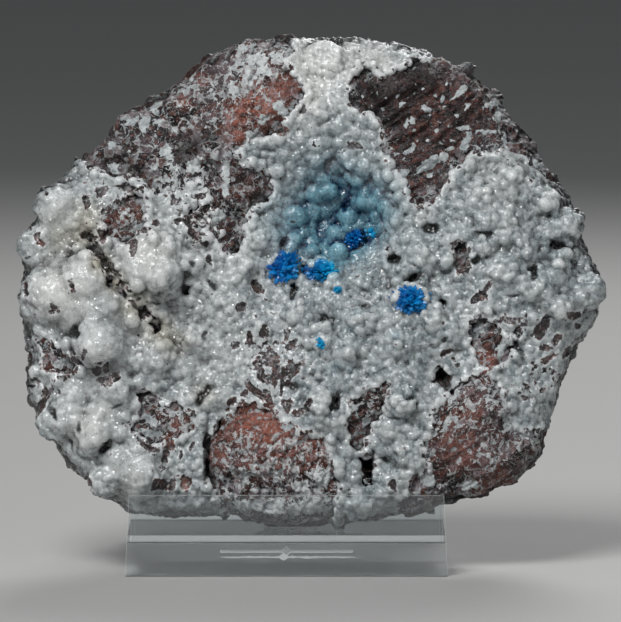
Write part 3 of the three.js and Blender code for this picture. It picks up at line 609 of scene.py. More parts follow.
basalt_look, given, out = new_group(
    "broken basalt",
    [("Place", PLACE, (0, 0, 0)), ("Netting", FLOAT, 0.0), ("Rust", FLOAT, 0.0), ("Lilac", FLOAT, 0.0),
     ("Dark", FLOAT, 0.0)],
    [("Color", COLOUR), ("Roughness", FLOAT), ("Height", FLOAT), ("Vein", FLOAT)])
tree = basalt_look
FRAGMENT_LOOK = 3.0 * MM  # the size of the fragments' colours and of the vein net between them
MIDDLE_GREY = (0.5, 0.5, 0.5)  # the mean of a random colour
wander = place(tree, "ShaderNodeTexNoise", {"Vector": given["Place"], "Scale": 1 / (2.2 * MM), "Detail": 2.0})
shift = vectors(tree, "SUBTRACT", wander.outputs[1], MIDDLE_GREY)
warped = vectors(tree, "ADD", given["Place"], vectors(tree, "SCALE", shift, 2.6 * MM))
large = place(tree, "ShaderNodeSeparateColor", {0: cells(tree, warped, FRAGMENT_LOOK, "F1", "Color")})
small = place(tree, "ShaderNodeSeparateColor", {0: cells(tree, warped, 1.4 * MM, "F1", "Color")})
grained = place(tree, "ShaderNodeMapping", {
    "Vector": given["Place"], "Rotation": (0, GRAIN_TURN, 0), "Scale": (0.22, 0.5, 1)}).outputs[0]
streak = noise(tree, grained, 0.9 * MM, 3, 0.6)
patchy = noise(tree, given["Place"], 5 * MM, 3, 0.6)
fine = noise(tree, given["Place"], 0.6 * MM, 4, 0.65)
tone = between(tree, stretch(tree, streak, 0.36, 0.66), light_values((17, 9, 9)), light_values((82, 46, 42)))
tone = tint(tree, stretch(tree, patchy, 0.4, 0.7, 0, 0.5), tone, (44, 28, 28))
mosaic = reckon(tree, "MINIMUM", times(tree, given["Netting"], 3.0), 1.0)
for part, low, colour in ((0, 0.62, (108, 92, 96)), (2, 0.55, (24, 15, 16)), (1, 0.8, (164, 154, 158))):
    tone = tint(tree, times(tree, stretch(tree, large.outputs[part], low, low + 0.02), mosaic), tone, colour)
tone = tint(tree, stretch(tree, small.outputs[0], 0.76, 0.8, 0, 0.7), tone, (30, 19, 19))
tone = tint(tree, stretch(tree, small.outputs[1], 0.76, 0.8, 0, 0.6), tone, (120, 74, 62))
tone = tint(tree, times(tree, given["Lilac"], 0.5), tone, (128, 112, 118))
rusty = times(tree, given["Rust"], stretch(tree, streak, 0.3, 0.6, 0.3, 1))
tone = tint(tree, rusty, tone, (170, 102, 84))
tone = tint(tree, stretch(tree, fine, 0.35, 0.7, 0.0, 0.5), tone, (34, 22, 22))
tone = tint(tree, times(tree, given["Dark"], stretch(tree, fine, 0.3, 0.6, 1, 0.6)), tone, (14, 9, 9))
tree.links.new(tone, out["Color"])
tree.links.new(stretch(tree, fine, 0.3, 0.7, 0.25, 0.55), out["Roughness"])
# White veins run along the edges of the fragments, in broken curls and fillings, and as small specks.
edge_large = cells(tree, warped, FRAGMENT_LOOK, "DISTANCE_TO_EDGE", "Distance")
spread = stretch(tree, noise(tree, given["Place"], 2.8 * MM), 0.44, 0.64, 0.0, 0.2)
reach = times(tree, given["Netting"], spread)
vein = stretch(tree, reckon(tree, "SUBTRACT", reach, edge_large), -0.015, 0.02)
curl = noise(tree, warped, 1.9 * MM, 1.0, 0.5, 1.2)
curl = reckon(tree, "ABSOLUTE", reckon(tree, "SUBTRACT", curl, 0.5))
broken_off = stretch(tree, noise(tree, given["Place"], 1.6 * MM), 0.42, 0.6)
curl = reckon(tree, "SUBTRACT", times(tree, times(tree, given["Netting"], broken_off), 0.045), curl)
vein = reckon(tree, "MAXIMUM", vein, stretch(tree, curl, -0.012, 0.004))
filled = reckon(tree, "SUBTRACT", times(tree, given["Netting"], 0.2), small.outputs[2])
vein = reckon(tree, "MAXIMUM", vein, stretch(tree, filled, 0.0, 0.03))
speck = cells(tree, given["Place"], 1.0 * MM, "F1", "Distance")
vein = reckon(tree, "MAXIMUM", vein, stretch(tree, speck, 0.1, 0.17, 0.75, 0))
clear = reckon(tree, "SUBTRACT", 1.0, times(tree, given["Dark"], 0.85))
vein = times(tree, vein, times(tree, clear, stretch(tree, fine, 0.35, 0.6, 0.6, 0.95)))
tree.links.new(vein, out["Vein"])
height = reckon(tree, "ADD", times(tree, large.outputs[1], 0.5), fine)
height = reckon(tree, "ADD", height, streak)
tree.links.new(reckon(tree, "ADD", height, times(tree, vein, 0.5)), out["Height"])

zeolite_look, given, out = new_group(
    "drusy zeolite",
    [("Place", PLACE, (0, 0, 0)), ("Blue", FLOAT, 0.0), ("Ochre", FLOAT, 0.0), ("Hollow", FLOAT, 0.0),
     ("Rim", FLOAT, 0.0), ("Pale", FLOAT, 0.0)],
    [("Color", COLOUR), ("Roughness", FLOAT), ("Height", FLOAT), ("Facets", PLACE)])
tree = zeolite_look
cloudy = noise(tree, given["Place"], 4 * MM, 3, 0.6)
fine = noise(tree, given["Place"], 0.7 * MM, 3, 0.6)
tone = between(tree, stretch(tree, cloudy, 0.35, 0.65), light_values((132, 144, 149)),
               light_values((180, 187, 189)))
# Painted light in part: Pale whitens the left and the top of the crust as well as its own whiter lumps.
tone = tint(tree, times(tree, given["Pale"], 0.8), tone, (234, 233, 229))
tone = tint(tree, stretch(tree, fine, 0.42, 0.7, 0, 0.4), tone, (232, 237, 238))
tone = tint(tree, times(tree, given["Rim"], 0.85), tone, (228, 231, 232))
# Painted light: where Hollow falls below 0, on tops that stand forward, the tone is lifted towards white.
tone = tint(tree, times(tree, given["Hollow"], -0.9), tone, (244, 246, 245))
tone = tint(tree, times(tree, given["Ochre"], 0.7), tone, (168, 154, 116))
tinted = between(tree, 1.0, tone, light_values((158, 212, 230)), "MULTIPLY")
# Painted shade: in the blue-tinted hollow the crevices turn deep teal.
tinted = tint(tree, times(tree, given["Hollow"], 1.3), tinted, (0, 50, 88))
tone = between(tree, given["Blue"], tone, tinted)
# Painted shade: crevices darken towards near black, browner where ochre stains them.
shade = between(tree, given["Ochre"], light_values((26, 26, 25)), light_values((52, 42, 24)))
painted_shade = times(tree, given["Hollow"], reckon(tree, "SUBTRACT", 0.95, given["Blue"]))
tree.links.new(between(tree, painted_shade, tone, shade), out["Color"])
# Every second crystal of the druse is turned enough to flash.
crystal = place(tree, "ShaderNodeTexVoronoi", {"Vector": given["Place"], "Scale": 1 / (0.4 * MM)})
crystal_lot = place(tree, "ShaderNodeTexWhiteNoise", {"Vector": crystal.outputs["Position"]}).outputs["Value"]
flash = stretch(tree, crystal_lot, 0.5, 0.52)
facet = vectors(tree, "SUBTRACT", crystal.outputs["Color"], MIDDLE_GREY)
facet = vectors(tree, "SCALE", facet, stretch(tree, flash, 0, 1, 0.12, 0.95))
tree.links.new(facet, out["Facets"])
tree.links.new(stretch(tree, flash, 0, 1, 0.3, 0.08), out["Roughness"])
grain = reckon(tree, "SUBTRACT", 1.0, crystal.outputs["Distance"])
tree.links.new(reckon(tree, "ADD", fine, times(tree, grain, 0.6)), out["Height"])


def stone_material(name, glow, relief, gloss):
    """Crust and basalt as they grew together, the attribute "bare" saying which of them a place shows."""
    material, tree, surface = new_material(name, {
        "IOR": 1.55, "Specular IOR Level": gloss, "Subsurface Weight": glow,
        "Subsurface Radius": (1.0, 1.0, 1.0), "Subsurface Scale": 1.6 * MM})
    where = place(tree, "ShaderNodeTexCoord").outputs["Object"]
    kept = {}
    for label in ("bare", "netting", "rust", "lilac", "dark", "blue", "ochre", "hollow", "rim", "pale"):
        kept[label] = place(tree, "ShaderNodeAttribute", attribute_name=label).outputs["Fac"]
    basalt = place(tree, "ShaderNodeGroup", node_tree=basalt_look)
    zeolite = place(tree, "ShaderNodeGroup", node_tree=zeolite_look)
    for group in (basalt, zeolite):
        for socket in group.inputs:
            tree.links.new(kept.get(socket.name.lower(), where), socket)
    ragged = times(tree, reckon(tree, "SUBTRACT", noise(tree, where, 0.9 * MM, 3), 0.44),
                   reckon(tree, "MULTIPLY_ADD", kept["netting"], 3.5, 1.0))
    bare = stretch(tree, reckon(tree, "ADD", kept["bare"], ragged), -0.05, 0.05)
    bare = times(tree, bare, reckon(tree, "SUBTRACT", 1.0, basalt.outputs["Vein"]))
    # Painted shade: the basalt darkens towards near black in its crevices and pits, by the hollow attribute.
    dark = tint(tree, times(tree, kept["hollow"], 0.8), basalt.outputs["Color"], (16, 12, 12))
    tree.links.new(between(tree, bare, zeolite.outputs["Color"], dark), surface.inputs["Base Color"])
    rough, height = (
        place(tree, "ShaderNodeMix", {0: bare, 2: zeolite.outputs[name], 3: basalt.outputs[name]}).outputs[0]
        for name in ("Roughness", "Height"))
    tree.links.new(rough, surface.inputs["Roughness"])
    bump = place(tree, "ShaderNodeBump", {"Height": height, "Strength": relief, "Distance": 0.3 * MM})
    turned = vectors(tree, "ADD", bump.outputs[0], zeolite.outputs["Facets"])
    turned = place(tree, "ShaderNodeVectorMath", {0: turned}, operation="NORMALIZE").outputs[0]
    tree.links.new(turned, surface.inputs["Normal"])
    return material


matrix.data.materials.append(stone_material("basalt", 0.0, 0.8, 0.3))

# ---- The zeolite crust ----
# The pale grey skin of intergrown zeolite balls that covers most of the front and lines the hollow. Each ball
# is a druse of tiny sparkling crystals. It grew in one piece and is modelled in four joining parts.
CRUST_SQUARE = 0.34 * MM
CRUST_TRIANGLES = 180000  # of each part
BED_SQUARE = 0.8 * MM
BED_SINK = 0.8 * MM  # how far the skin between the balls lies under their tops
# The parts from left to right: where each starts and ends.
CRUST_PARTS = {
    "crust_left": (-90, -42), "crust_inner": (-44, -2), "crust_middle": (-4, 32), "crust_right": (30, 90)}
# The larger lumps that the balls sit on: across, up, half length, half width, turn in degrees, and how far
# they stand out in millimetres.
LUMPS = [
    (-70.4, 96.9, 8.3, 7.5, 90, 3.4), (-66.5, 74.7, 13.1, 10.6, -10, 4.4),
    (-44.8, 83.0, 10.6, 9.4, -50, 4.2), (-42.1, 76.3, 4.2, 3.9, 0, 5.5), (-49.3, 80.2, 3.1, 3.1, 0, 4.7),
    (-40.4, 87.5, 4.2, 3.6, 0, 5.1), (-57.6, 59.4, 8.6, 6.1, -15, 3.9), (-43.4, 58.6, 6.7, 5.6, 80, 2.6),
    (-42.9, 53.6, 2.5, 2.5, 0, 3.1), (-36.5, 53.6, 2.8, 2.8, 0, 2.9), (-31.8, 52.5, 3.1, 3.1, 0, 3.1),
    (-32.6, 60.0, 3.6, 3.3, 0, 3.1), (-26.2, 60.0, 3.9, 3.6, 0, 3.1), (-34.8, 64.7, 3.9, 3.1, 0, 2.6),
    (-22.6, 75.0, 5.3, 5.0, 0, 3.9), (-29.6, 80.8, 6.1, 2.8, -30, 2.0), (-55.9, 46.9, 6.1, 3.3, 20, 2.9),
    (-51.2, 45.0, 3.6, 3.3, 0, 3.6), (-55.1, 41.3, 3.3, 3.3, 0, 3.4), (-53.7, 36.3, 3.6, 3.3, 0, 3.4),
    (-67.6, 40.5, 7.5, 2.8, -88, 4.2), (-60.9, 35.8, 8.9, 3.6, 65, 4.2), (-50.4, 25.8, 8.9, 8.3, 0, 2.9),
    (-69.8, 33.6, 11.1, 3.3, -60, 2.3), (-58.7, 18.3, 11.1, 3.9, -45, 2.1),
    (-33.7, 46.1, 6.1, 2.5, 80, 3.1), (-26.2, 44.1, 4.7, 4.4, 90, 2.9), (-24.0, 53.0, 5.6, 4.4, 0, 2.6),
    (-42.1, 66.9, 5.6, 3.3, -30, 1.6), (55.7, 105.8, 3.6, 3.6, 0, 2.9), (48.8, 105.5, 3.1, 3.1, 0, 2.3),
    (41.8, 99.4, 3.9, 3.3, 0, 2.1), (52.4, 100.2, 12.5, 8.3, 10, 1.8), (53.8, 93.3, 11.1, 3.6, -5, 3.1),
    (70.7, 92.2, 4.2, 3.9, 90, 4.7), (66.6, 92.2, 3.1, 2.5, 90, 3.6), (69.1, 98.8, 6.1, 3.9, -20, 2.9),
    (26.0, 85.0, 6.9, 5.8, 0, 3.6), (25.2, 93.3, 4.4, 3.6, 0, 2.9), (37.1, 89.1, 8.3, 3.3, 0, 2.1),
    (54.3, 79.4, 6.7, 4.7, -10, 3.6), (46.8, 86.3, 4.4, 3.3, 0, 2.1), (66.8, 78.0, 5.0, 4.2, 0, 4.2),
    (66.0, 71.6, 4.2, 3.1, 0, 3.6), (57.9, 72.5, 5.6, 3.3, 10, 2.9), (72.4, 75.2, 6.1, 3.9, 90, 2.9),
    (77.9, 73.8, 10.6, 2.5, 90, 1.3), (32.9, 64.1, 11.1, 6.1, 0, 1.6), (57.9, 66.9, 8.3, 2.5, -5, 2.1),
    (69.1, 66.3, 3.9, 2.8, 0, 2.1), (1.8, 44.1, 6.4, 3.9, 88, 3.1), (7.4, 38.6, 4.2, 3.6, 0, 2.6),
    (19.1, 34.1, 3.3, 3.3, 0, 3.9), (26.0, 42.2, 5.0, 3.6, 0, 3.1), (26.0, 33.6, 6.1, 5.6, 0, 2.1),
    (10.7, 60.0, 4.4, 3.9, 0, 2.3), (24.6, 60.0, 4.7, 4.4, 0, 2.6), (24.1, 51.6, 4.4, 3.9, 0, 2.6),
    (16.8, 54.4, 4.4, 3.6, 0, 1.8), (-1.8, 75.0, 3.6, 3.3, 0, 2.1), (2.9, 75.2, 3.1, 3.1, 0, 2.1),
    (6.6, 72.5, 3.9, 3.1, 0, 1.8), (13.5, 78.0, 7.8, 2.2, -8, 2.1), (-3.2, 64.1, 5.6, 4.4, 90, 1.8),
    (10.7, 69.1, 5.6, 2.8, 0, 1.6), (21.8, 66.9, 6.7, 3.3, 0, 1.6), (9.3, 48.8, 4.2, 3.9, 0, 2.1),
    (11.3, 26.6, 6.7, 3.9, 85, 2.1), (27.4, 25.2, 6.7, 5.6, 90, 1.8), (24.6, 16.9, 8.3, 4.4, 0, 1.6),
    (15.4, 98.3, 5.0, 4.4, -20, 3.1), (11.3, 108.0, 3.9, 3.1, 90, 2.6), (2.9, 98.8, 4.2, 3.6, 0, 2.3),
    (-3.2, 91.1, 4.4, 3.9, 0, 2.9), (1.8, 86.9, 4.7, 3.3, 0, 2.6), (0.2, 108.6, 5.0, 3.9, 90, 2.1),
    (20.4, 105.8, 3.3, 2.8, 90, 2.1), (-12.6, 91.9, 3.3, 3.3, 0, 2.6),
]
LUMP_LEVEL = 0.9 * MM  # how far the ground between the lumps lies back
FLAT_TOP = (2.9, 140.5, 5.0, 1)  # a place near the top where the crust lies flatter
FLAT_TOP_SINK = 3 * MM
# Places where balls grow on the bare stone: across, up, half length, half width, turn in degrees.
GROWTHS = [
    (-66.5, 88.3, 6.7, 1.7, 0), (-60.9, 84.7, 5.6, 1.9, -55), (-56.5, 79.1, 5.6, 1.9, -48),
    (-51.5, 74.1, 5.0, 2.2, -48), (-44.8, 65.5, 5.0, 1.7, -42), (-29.6, 93.0, 4.7, 5.0, 0),
    (-33.7, 90.8, 2.5, 3.9, 60), (-31.8, 101.3, 3.3, 3.9, 0), (-19.3, 83.0, 5.0, 3.3, 20),
    (-13.7, 90.2, 3.1, 3.3, 0), (-32.3, 82.2, 5.6, 2.2, -20),
]
# Whiter parts of the crust: partly its own whiter lumps, and partly painted light that whitens the left and
# the top, where the lamp falls, more than the shaded right.
PALE = [
    (-60.0, 74.0, 26.0, 0.42), (-62.0, 46.0, 14.0, 0.25), (-36.0, 66.0, 14.0, 0.15),
    (-69.8, 75.2, 7.2, 0.8), (-69.8, 96.1, 5.6, 0.6), (-44.8, 86.3, 7.8, 0.7), (-61.5, 36.3, 7.2, 0.6),
    (-50.4, 22.5, 8.3, 0.6), (-24.0, 58.6, 7.8, 0.35), (5.2, 139.1, 11.1, 0.8), (-3.2, 128.0, 6.9, 0.9),
    (-11.5, 139.1, 8.3, 0.8), (19.1, 136.3, 6.9, 0.8), (38.5, 30.8, 5.6, 0.5), (46.8, 66.9, 4.4, 0.6),
    (-22.6, 89.1, 11.1, 0.5), (30.2, 96.1, 3.9, 0.4), (52.4, 105.8, 8.3, 0.35), (28.8, 16.9, 6.9, 0.4),
]
# Balls by place: the outline across and up, smallest and largest radius, spacing, and how much of a ball
# stands proud. The last row is for the rest of the crust.
BALLS = [
    ([
        (-11.5, 98.8), (-7.3, 114.2), (-0.4, 120.3), (9.4, 123.0), (19.1, 120.3), (22.4, 110.0),
        (24.6, 98.8), (22.4, 89.1), (16.9, 83.0), (8.0, 82.5), (-0.4, 83.0), (-7.3, 84.6), (-12.0, 90.5),
    ], 1.2, 3.3, 0.6, 0.24),
    ([
        (24.1, 95.2), (34.4, 98.8), (37.7, 101.6), (45.2, 110.0), (50.2, 109.7), (53.8, 116.1),
        (58.0, 114.7), (60.7, 109.1), (67.4, 102.7), (73.0, 99.4), (76.3, 92.4), (86.3, 81.4), (86.3, 66.9),
        (78.3, 56.3), (69.1, 56.3), (58.0, 60.4), (51.0, 66.5), (44.1, 65.4), (35.7, 64.1), (30.2, 69.7),
        (24.6, 83.0),
    ], 0.9, 2.2, 0.6, 0.12),
    ([
        (-3.1, 83.0), (9.4, 83.0), (24.6, 84.9), (30.2, 69.7), (35.7, 64.1), (37.1, 54.4), (33.0, 46.1),
        (32.4, 36.3), (35.7, 25.3), (31.6, 5.6), (5.2, 5.6), (9.4, 26.7), (9.4, 43.3), (9.4, 58.5),
        (5.2, 64.1), (-1.8, 72.4),
    ], 0.8, 2.1, 0.6, 0.14),
    ([
        (-47.6, 72.4), (-42.0, 83.0), (-29.5, 90.5), (-13.7, 87.8), (-7.3, 76.6), (-0.4, 72.4), (9.4, 58.5),
        (9.4, 43.3), (2.4, 39.2), (-15.6, 43.3), (-29.5, 32.2), (-40.6, 37.7), (-47.6, 50.2), (-53.1, 64.1),
    ], 0.8, 2.2, 0.6, 0.1),
    ([
        (-89.7, 105.7), (-67.0, 115.2), (-58.7, 98.8), (-49.0, 90.5), (-40.6, 84.9), (-46.2, 75.2),
        (-51.8, 64.1), (-47.6, 50.2), (-50.4, 36.3), (-30.9, 33.6), (-29.5, 0.5), (-53.1, 0.5),
        (-79.7, 20.8), (-89.7, 50.2),
    ], 0.9, 2.6, 0.6, 0.04),
    ([
        (-6.5, 152.7), (38.3, 152.7), (31.6, 139.1), (26.0, 133.6), (16.3, 135.0), (10.7, 130.8),
        (10.7, 125.2), (20.5, 119.6), (-3.1, 118.3), (-7.6, 114.2), (-11.5, 103.0), (-7.3, 125.2),
    ], 0.5, 1.4, 0.6, 0.1),
    ([(-200, -200), (200, -200), (200, 300), (-200, 300)], 0.9, 2.0, 0.6, 0.12),
]
# Where the crust has grown smooth over its balls: across, up, reach, strength.
SMOOTH = [
    (-66, 73, 14, 1), (-45, 83, 11, 0.7), (-57, 59, 9, 0.8), (-62, 37, 9, 0.8), (-50, 24, 9, 0.9),
    (-70, 97, 9, 0.8), (3, 140, 8, 0.3), (-24, 76, 6, 0.5), (-33, 60, 8, 0.6), (-55, 44, 6, 0.6),
    (66, 77, 6, 0.4), (54, 80, 6, 0.3), (-26, 45, 6, 0.4),
]
# Larger balls come first: from and to which share of the sizes, and how many are thrown.
BALL_TRIES = ((0.6, 1.0, 9000), (0.25, 0.6, 14000), (0.0, 0.25, 18000))
BALL_CELL = 4.5 * MM  # at least as far as two balls can reach each other
# Radii of the grains that seat the cavansite, of the balls on the bare stone, and of the grains along the
# windows' edges, each with the number of throws: for each cavansite ball, for each place, and in all.
SEAT_GRAIN, SEAT_THROWS = (0.7, 1.5), 400
GROWTH_BALL, GROWTH_THROWS = (0.7, 1.8), 90
RIM_GRAIN, RIM_THROWS = (0.35, 0.9), 30000
FRONT_ACROSS, FRONT_UP = (-82, 82), (6, 146)  # what the front takes in
# Small windows in the crust with basalt in them: across, up, half length, half width, turn in degrees.
SHARDS = [
    (-58.0, 102.9, 1.6, 1.0, 30), (-50.8, 103.6, 3.3, 0.5, -3), (-62.4, 99.6, 1.9, 0.8, -80),
    (-48.4, 98.4, 3.1, 1.9, -20), (-52.7, 93.3, 4.3, 2.1, -15), (-46.5, 91.8, 1.4, 0.7, -10),
    (-49.6, 87.1, 2.9, 1.0, 85), (-51.2, 89.0, 1.2, 0.4, -60), (-58.0, 89.8, 1.9, 0.8, 88),
    (-43.2, 94.1, 0.9, 0.7, 80), (-34.0, 93.3, 1.9, 0.6, -60), (-32.6, 90.6, 2.3, 0.9, -42),
    (-29.7, 88.1, 1.0, 0.7, 0), (-30.1, 97.0, 2.9, 1.2, 52), (-26.6, 98.8, 1.9, 0.9, 70),
    (-28.2, 83.2, 1.2, 0.8, -60), (-66.4, 76.4, 1.5, 0.5, -70), (-71.2, 70.3, 1.2, 0.7, -20),
    (-71.6, 69.5, 0.9, 0.5, 60), (-79.2, 75.4, 1.9, 0.6, 85), (-74.9, 88.2, 1.4, 0.7, -45),
    (-76.3, 90.2, 1.2, 0.7, 80), (-73.4, 102.1, 0.6, 0.5, 80), (-78.0, 92.3, 0.4, 0.4, 0),
    (-78.8, 84.2, 0.8, 0.2, 0), (-73.4, 58.6, 3.1, 0.9, -45), (-69.9, 53.8, 4.5, 1.6, -14),
    (-72.1, 56.1, 2.3, 1.5, -52), (-65.0, 55.5, 1.6, 0.6, -20), (-63.2, 57.5, 1.6, 0.6, 80),
    (-66.4, 57.5, 0.6, 0.5, 0), (-59.3, 52.8, 1.3, 1.1, 20), (-56.9, 54.0, 1.4, 0.9, 80),
    (-57.4, 50.0, 2.3, 1.4, -20), (-54.4, 50.8, 1.6, 1.0, 70), (-58.9, 55.1, 0.8, 0.4, 0),
    (-78.4, 56.3, 2.3, 0.9, 88), (-77.9, 48.5, 0.9, 0.6, 0), (-74.0, 46.5, 1.4, 0.9, 60),
    (-45.2, 44.6, 2.7, 1.9, -32), (-42.3, 41.3, 1.6, 1.1, 60), (-45.2, 40.1, 1.2, 0.6, 0),
    (-47.8, 37.2, 2.3, 1.0, 32), (-42.9, 38.0, 1.6, 0.9, -10), (-42.6, 34.8, 1.9, 1.6, -20),
    (-36.9, 37.6, 4.3, 2.1, -5), (-39.2, 32.9, 1.9, 0.9, 88), (-45.8, 31.9, 2.3, 0.8, -35),
    (-40.6, 28.6, 2.9, 0.7, 88), (-37.6, 43.0, 1.2, 0.4, 88), (-36.9, 41.1, 1.2, 0.7, 0),
    (-33.0, 32.1, 1.0, 0.5, 80), (-36.1, 29.4, 1.2, 0.4, 70), (-41.9, 21.2, 2.1, 1.6, -20),
    (-38.8, 21.2, 1.6, 0.7, 88), (-34.9, 21.6, 2.1, 1.2, 70), (-75.0, 43.0, 3.0, 1.0, 62),
    (-69.0, 27.4, 3.1, 0.9, -58), (-62.0, 22.0, 1.9, 0.8, -70), (-70.0, 47.1, 0.6, 0.3, 60),
    (-76.2, 50.4, 1.2, 0.4, -40), (-77.6, 48.5, 0.9, 0.5, 0), (-15.0, 76.0, 2.1, 1.2, -50),
    (-19.6, 70.3, 1.3, 1.2, 20), (-12.9, 63.8, 1.9, 1.2, 85), (-6.7, 62.7, 1.6, 0.5, 80),
    (-5.4, 60.1, 1.9, 1.0, 62), (-20.8, 59.8, 1.1, 0.6, 20), (-14.5, 52.8, 2.0, 0.5, 85),
    (-10.3, 51.4, 2.7, 0.7, 80), (-8.1, 49.0, 3.2, 0.5, 88), (-5.5, 53.9, 2.7, 0.4, 14),
    (-4.3, 52.5, 0.9, 0.5, 60), (-15.4, 47.0, 3.2, 0.9, -36), (-18.5, 46.5, 1.3, 0.8, 20),
    (-11.8, 45.0, 2.7, 0.8, -68), (-6.7, 43.0, 1.9, 1.2, 88), (-2.8, 41.6, 2.1, 0.9, 14),
    (-0.7, 43.9, 1.5, 0.8, 70), (-22.1, 44.3, 1.3, 1.0, 50), (-17.4, 42.6, 1.1, 0.6, 0),
    (-16.3, 48.3, 1.8, 0.4, -50), (-13.2, 56.7, 2.2, 0.4, 10), (-11.5, 54.5, 1.8, 0.6, -10),
    (-9.7, 57.2, 1.8, 0.4, -30), (46.3, 66.0, 2.3, 1.3, 25), (54.7, 66.9, 2.0, 0.7, -6),
    (64.1, 64.5, 3.3, 1.1, 58), (72.6, 68.0, 1.3, 1.1, 20), (74.0, 65.1, 0.6, 0.5, 0),
    (68.4, 61.4, 1.5, 0.8, 45), (66.0, 56.3, 2.1, 0.8, 42), (65.8, 59.2, 1.5, 0.5, -10),
    (37.4, 57.8, 1.7, 0.7, 22), (39.6, 56.0, 0.6, 0.5, 0), (40.5, 54.5, 0.7, 0.5, 0),
    (29.0, 20.9, 2.1, 1.7, 40), (71.1, 57.8, 1.8, 0.8, 50), (75.1, 60.5, 1.6, 0.6, 40),
    (22.8, 21.5, 1.2, 1.0, 60), (53.6, 57.8, 1.9, 0.7, 80), (41.9, 83.6, 3.7, 1.7, -84),
    (48.8, 75.9, 1.4, 0.7, 45), (46.1, 72.9, 2.4, 1.2, 35), (54.4, 66.9, 2.2, 0.9, -8),
    (63.9, 65.2, 3.2, 1.3, 55), (72.9, 68.2, 1.7, 1.1, 20), (74.0, 65.2, 0.7, 0.6, 0),
    (68.2, 61.5, 1.4, 1.0, 45), (46.1, 65.5, 2.1, 1.4, 50), (-2.3, 125.3, 1.2, 0.6, 70),
    (-8.5, 119.6, 1.7, 1.4, -30), (0.9, 115.2, 0.7, 0.4, -60), (12.2, 115.2, 1.8, 0.8, -10),
]
# Where basalt shows through the crust in a broken net: across, up, reach, strength.
SHOWING = [
    (-10.7, 53.3, 7, 1.0), (-13.7, 59.4, 5, 0.7), (-2.7, 54.3, 4, 0.5), (-19.7, 43.1, 5, 0.6),
    (-25.7, 93.9, 6, 0.8), (-37.7, 95.9, 5, 0.7), (-47.7, 107.1, 8, 0.8), (60.3, 62.4, 6, 0.7),
    (52.3, 65.4, 4, 0.5), (66.3, 52.2, 6, 0.7), (58.3, 46.2, 4, 0.6), (-59.7, 100.0, 6, 0.6),
    (-71.7, 52.2, 6, 0.6), (-41.7, 31.9, 6, 0.5), (-37.7, 21.8, 5, 0.6), (2.3, 21.8, 4, 0.5),
]
# Ochre stain along the crack through the left of the crust.
STAINED = [
    (-69.7, 89.1, 4, 0.4), (-62.7, 90.8, 4, 0.7), (-58.7, 83.0, 3, 0.9), (-54.7, 77.6, 3, 0.8),
    (-48.7, 71.0, 4, 0.7), (-42.7, 64.4, 4, 0.6), (-37.7, 60.4, 4, 0.4), (-29.7, 46.2, 4, 0.4),
    (-61.7, 96.9, 4, 0.4), (26.3, 69.5, 2, 0.4),
]


def inside(outline, across, up):
    """True if a place lies inside an outline."""
    within = False
    for (ax, az), (bx, bz) in zip(outline, outline[1:] + outline[:1]):
        if (az > up) != (bz > up) and across < (bx - ax) * (up - az) / (bz - az) + ax:
            within = not within
    return within


def in_a_pit(across, up):
    """True if a place lies in one of the pits or close beside it."""
    for x, z, half_length, half_width, turn in PITS:
        along, aside = beside_line(across - x, up - z, turn)
        if (along / (half_length + 0.3)) ** 2 + (aside / (half_width + 0.5)) ** 2 < 1:
            return True
    return False


def opens_out(spot, normal, room):
    """True if nothing of the stone or crust lies close before a piece of surface."""
    start = spot + normal * 0.2 * MM
    return (matrix_tree.ray_cast(start, normal, 3 * MM)[0] is None
            and crust_tree.ray_cast(start, normal, room)[0] is None)


balls = []
ball_cells = {}


def grow_ball(centre, radius, spacing):
    """Keeps a ball unless it overlaps an earlier one by too much."""
    home = tuple(math.floor(part / BALL_CELL) for part in centre)
    for step in itertools.product((-1, 0, 1), repeat=3):
        for other, other_radius in ball_cells.get(tuple(map(sum, zip(home, step))), ()):
            if (other - centre).length < spacing * (radius + other_radius):
                return
    ball_cells.setdefault(home, []).append((centre, radius))
    balls.append((centre, radius))


def lumps_at(places):
    """How far forward or back the crust lies at each place, by its larger lumps."""
    flat = np.column_stack([places, np.zeros(len(places))])
    places = places + 2.2 * np.stack([rough_swell(flat, 7, 81), rough_swell(flat, 7, 82)], axis=1)
    height = np.zeros(len(places))
    for across, up, half_length, half_width, turn, rise in LUMPS:
        along, aside = beside_line(*(places - (across, up)).T, turn)
        off_middle = (along / half_length) ** 2 + (aside / half_width) ** 2
        height = np.maximum(height, rise * np.clip(1 - off_middle ** 2, 0, 1) ** 0.8)
    height += (1.5 * swell(flat, 7, 83) + 0.9 * swell(flat, 3.4, 84)) * (1 - 0.7 * blobs(places, SMOOTH))
    return np.maximum(height * MM - LUMP_LEVEL, -LUMP_LEVEL)


def lumps_forward(spots, normals):
    """The way that each spot of the crust is moved by its larger lumps, none at the sides."""
    forward = lumps_at(seen(spots)) * np.clip(-normals[:, 1] * 2 - 0.2, 0, 1)
    forward -= FLAT_TOP_SINK * blobs(seen(spots), [FLAT_TOP])
    for middle, reach in sprays.values():
        apart = np.linalg.norm(spots - np.array(middle), axis=1)
        forward *= np.clip((apart - reach) / (2 * MM), 0, 1)
    return -forward[:, None] * np.array(LOOK)


def averager(mesh):
    """A function that gives the mean of its neighbours' values to each vertex of a mesh."""
    ends = np.empty(len(mesh.edges) * 2, dtype=np.int64)
    mesh.edges.foreach_get("vertices", ends)
    first, second = ends.reshape(-1, 2).T
    number = len(mesh.vertices)
    joined = np.maximum(np.bincount(first, minlength=number) + np.bincount(second, minlength=number), 1)

    def around(values):
        if values.ndim == 2:
            return np.stack([around(column) for column in values.T], axis=1)
        total = np.bincount(first, values[second], number) + np.bincount(second, values[first], number)
        return total / joined

    return around


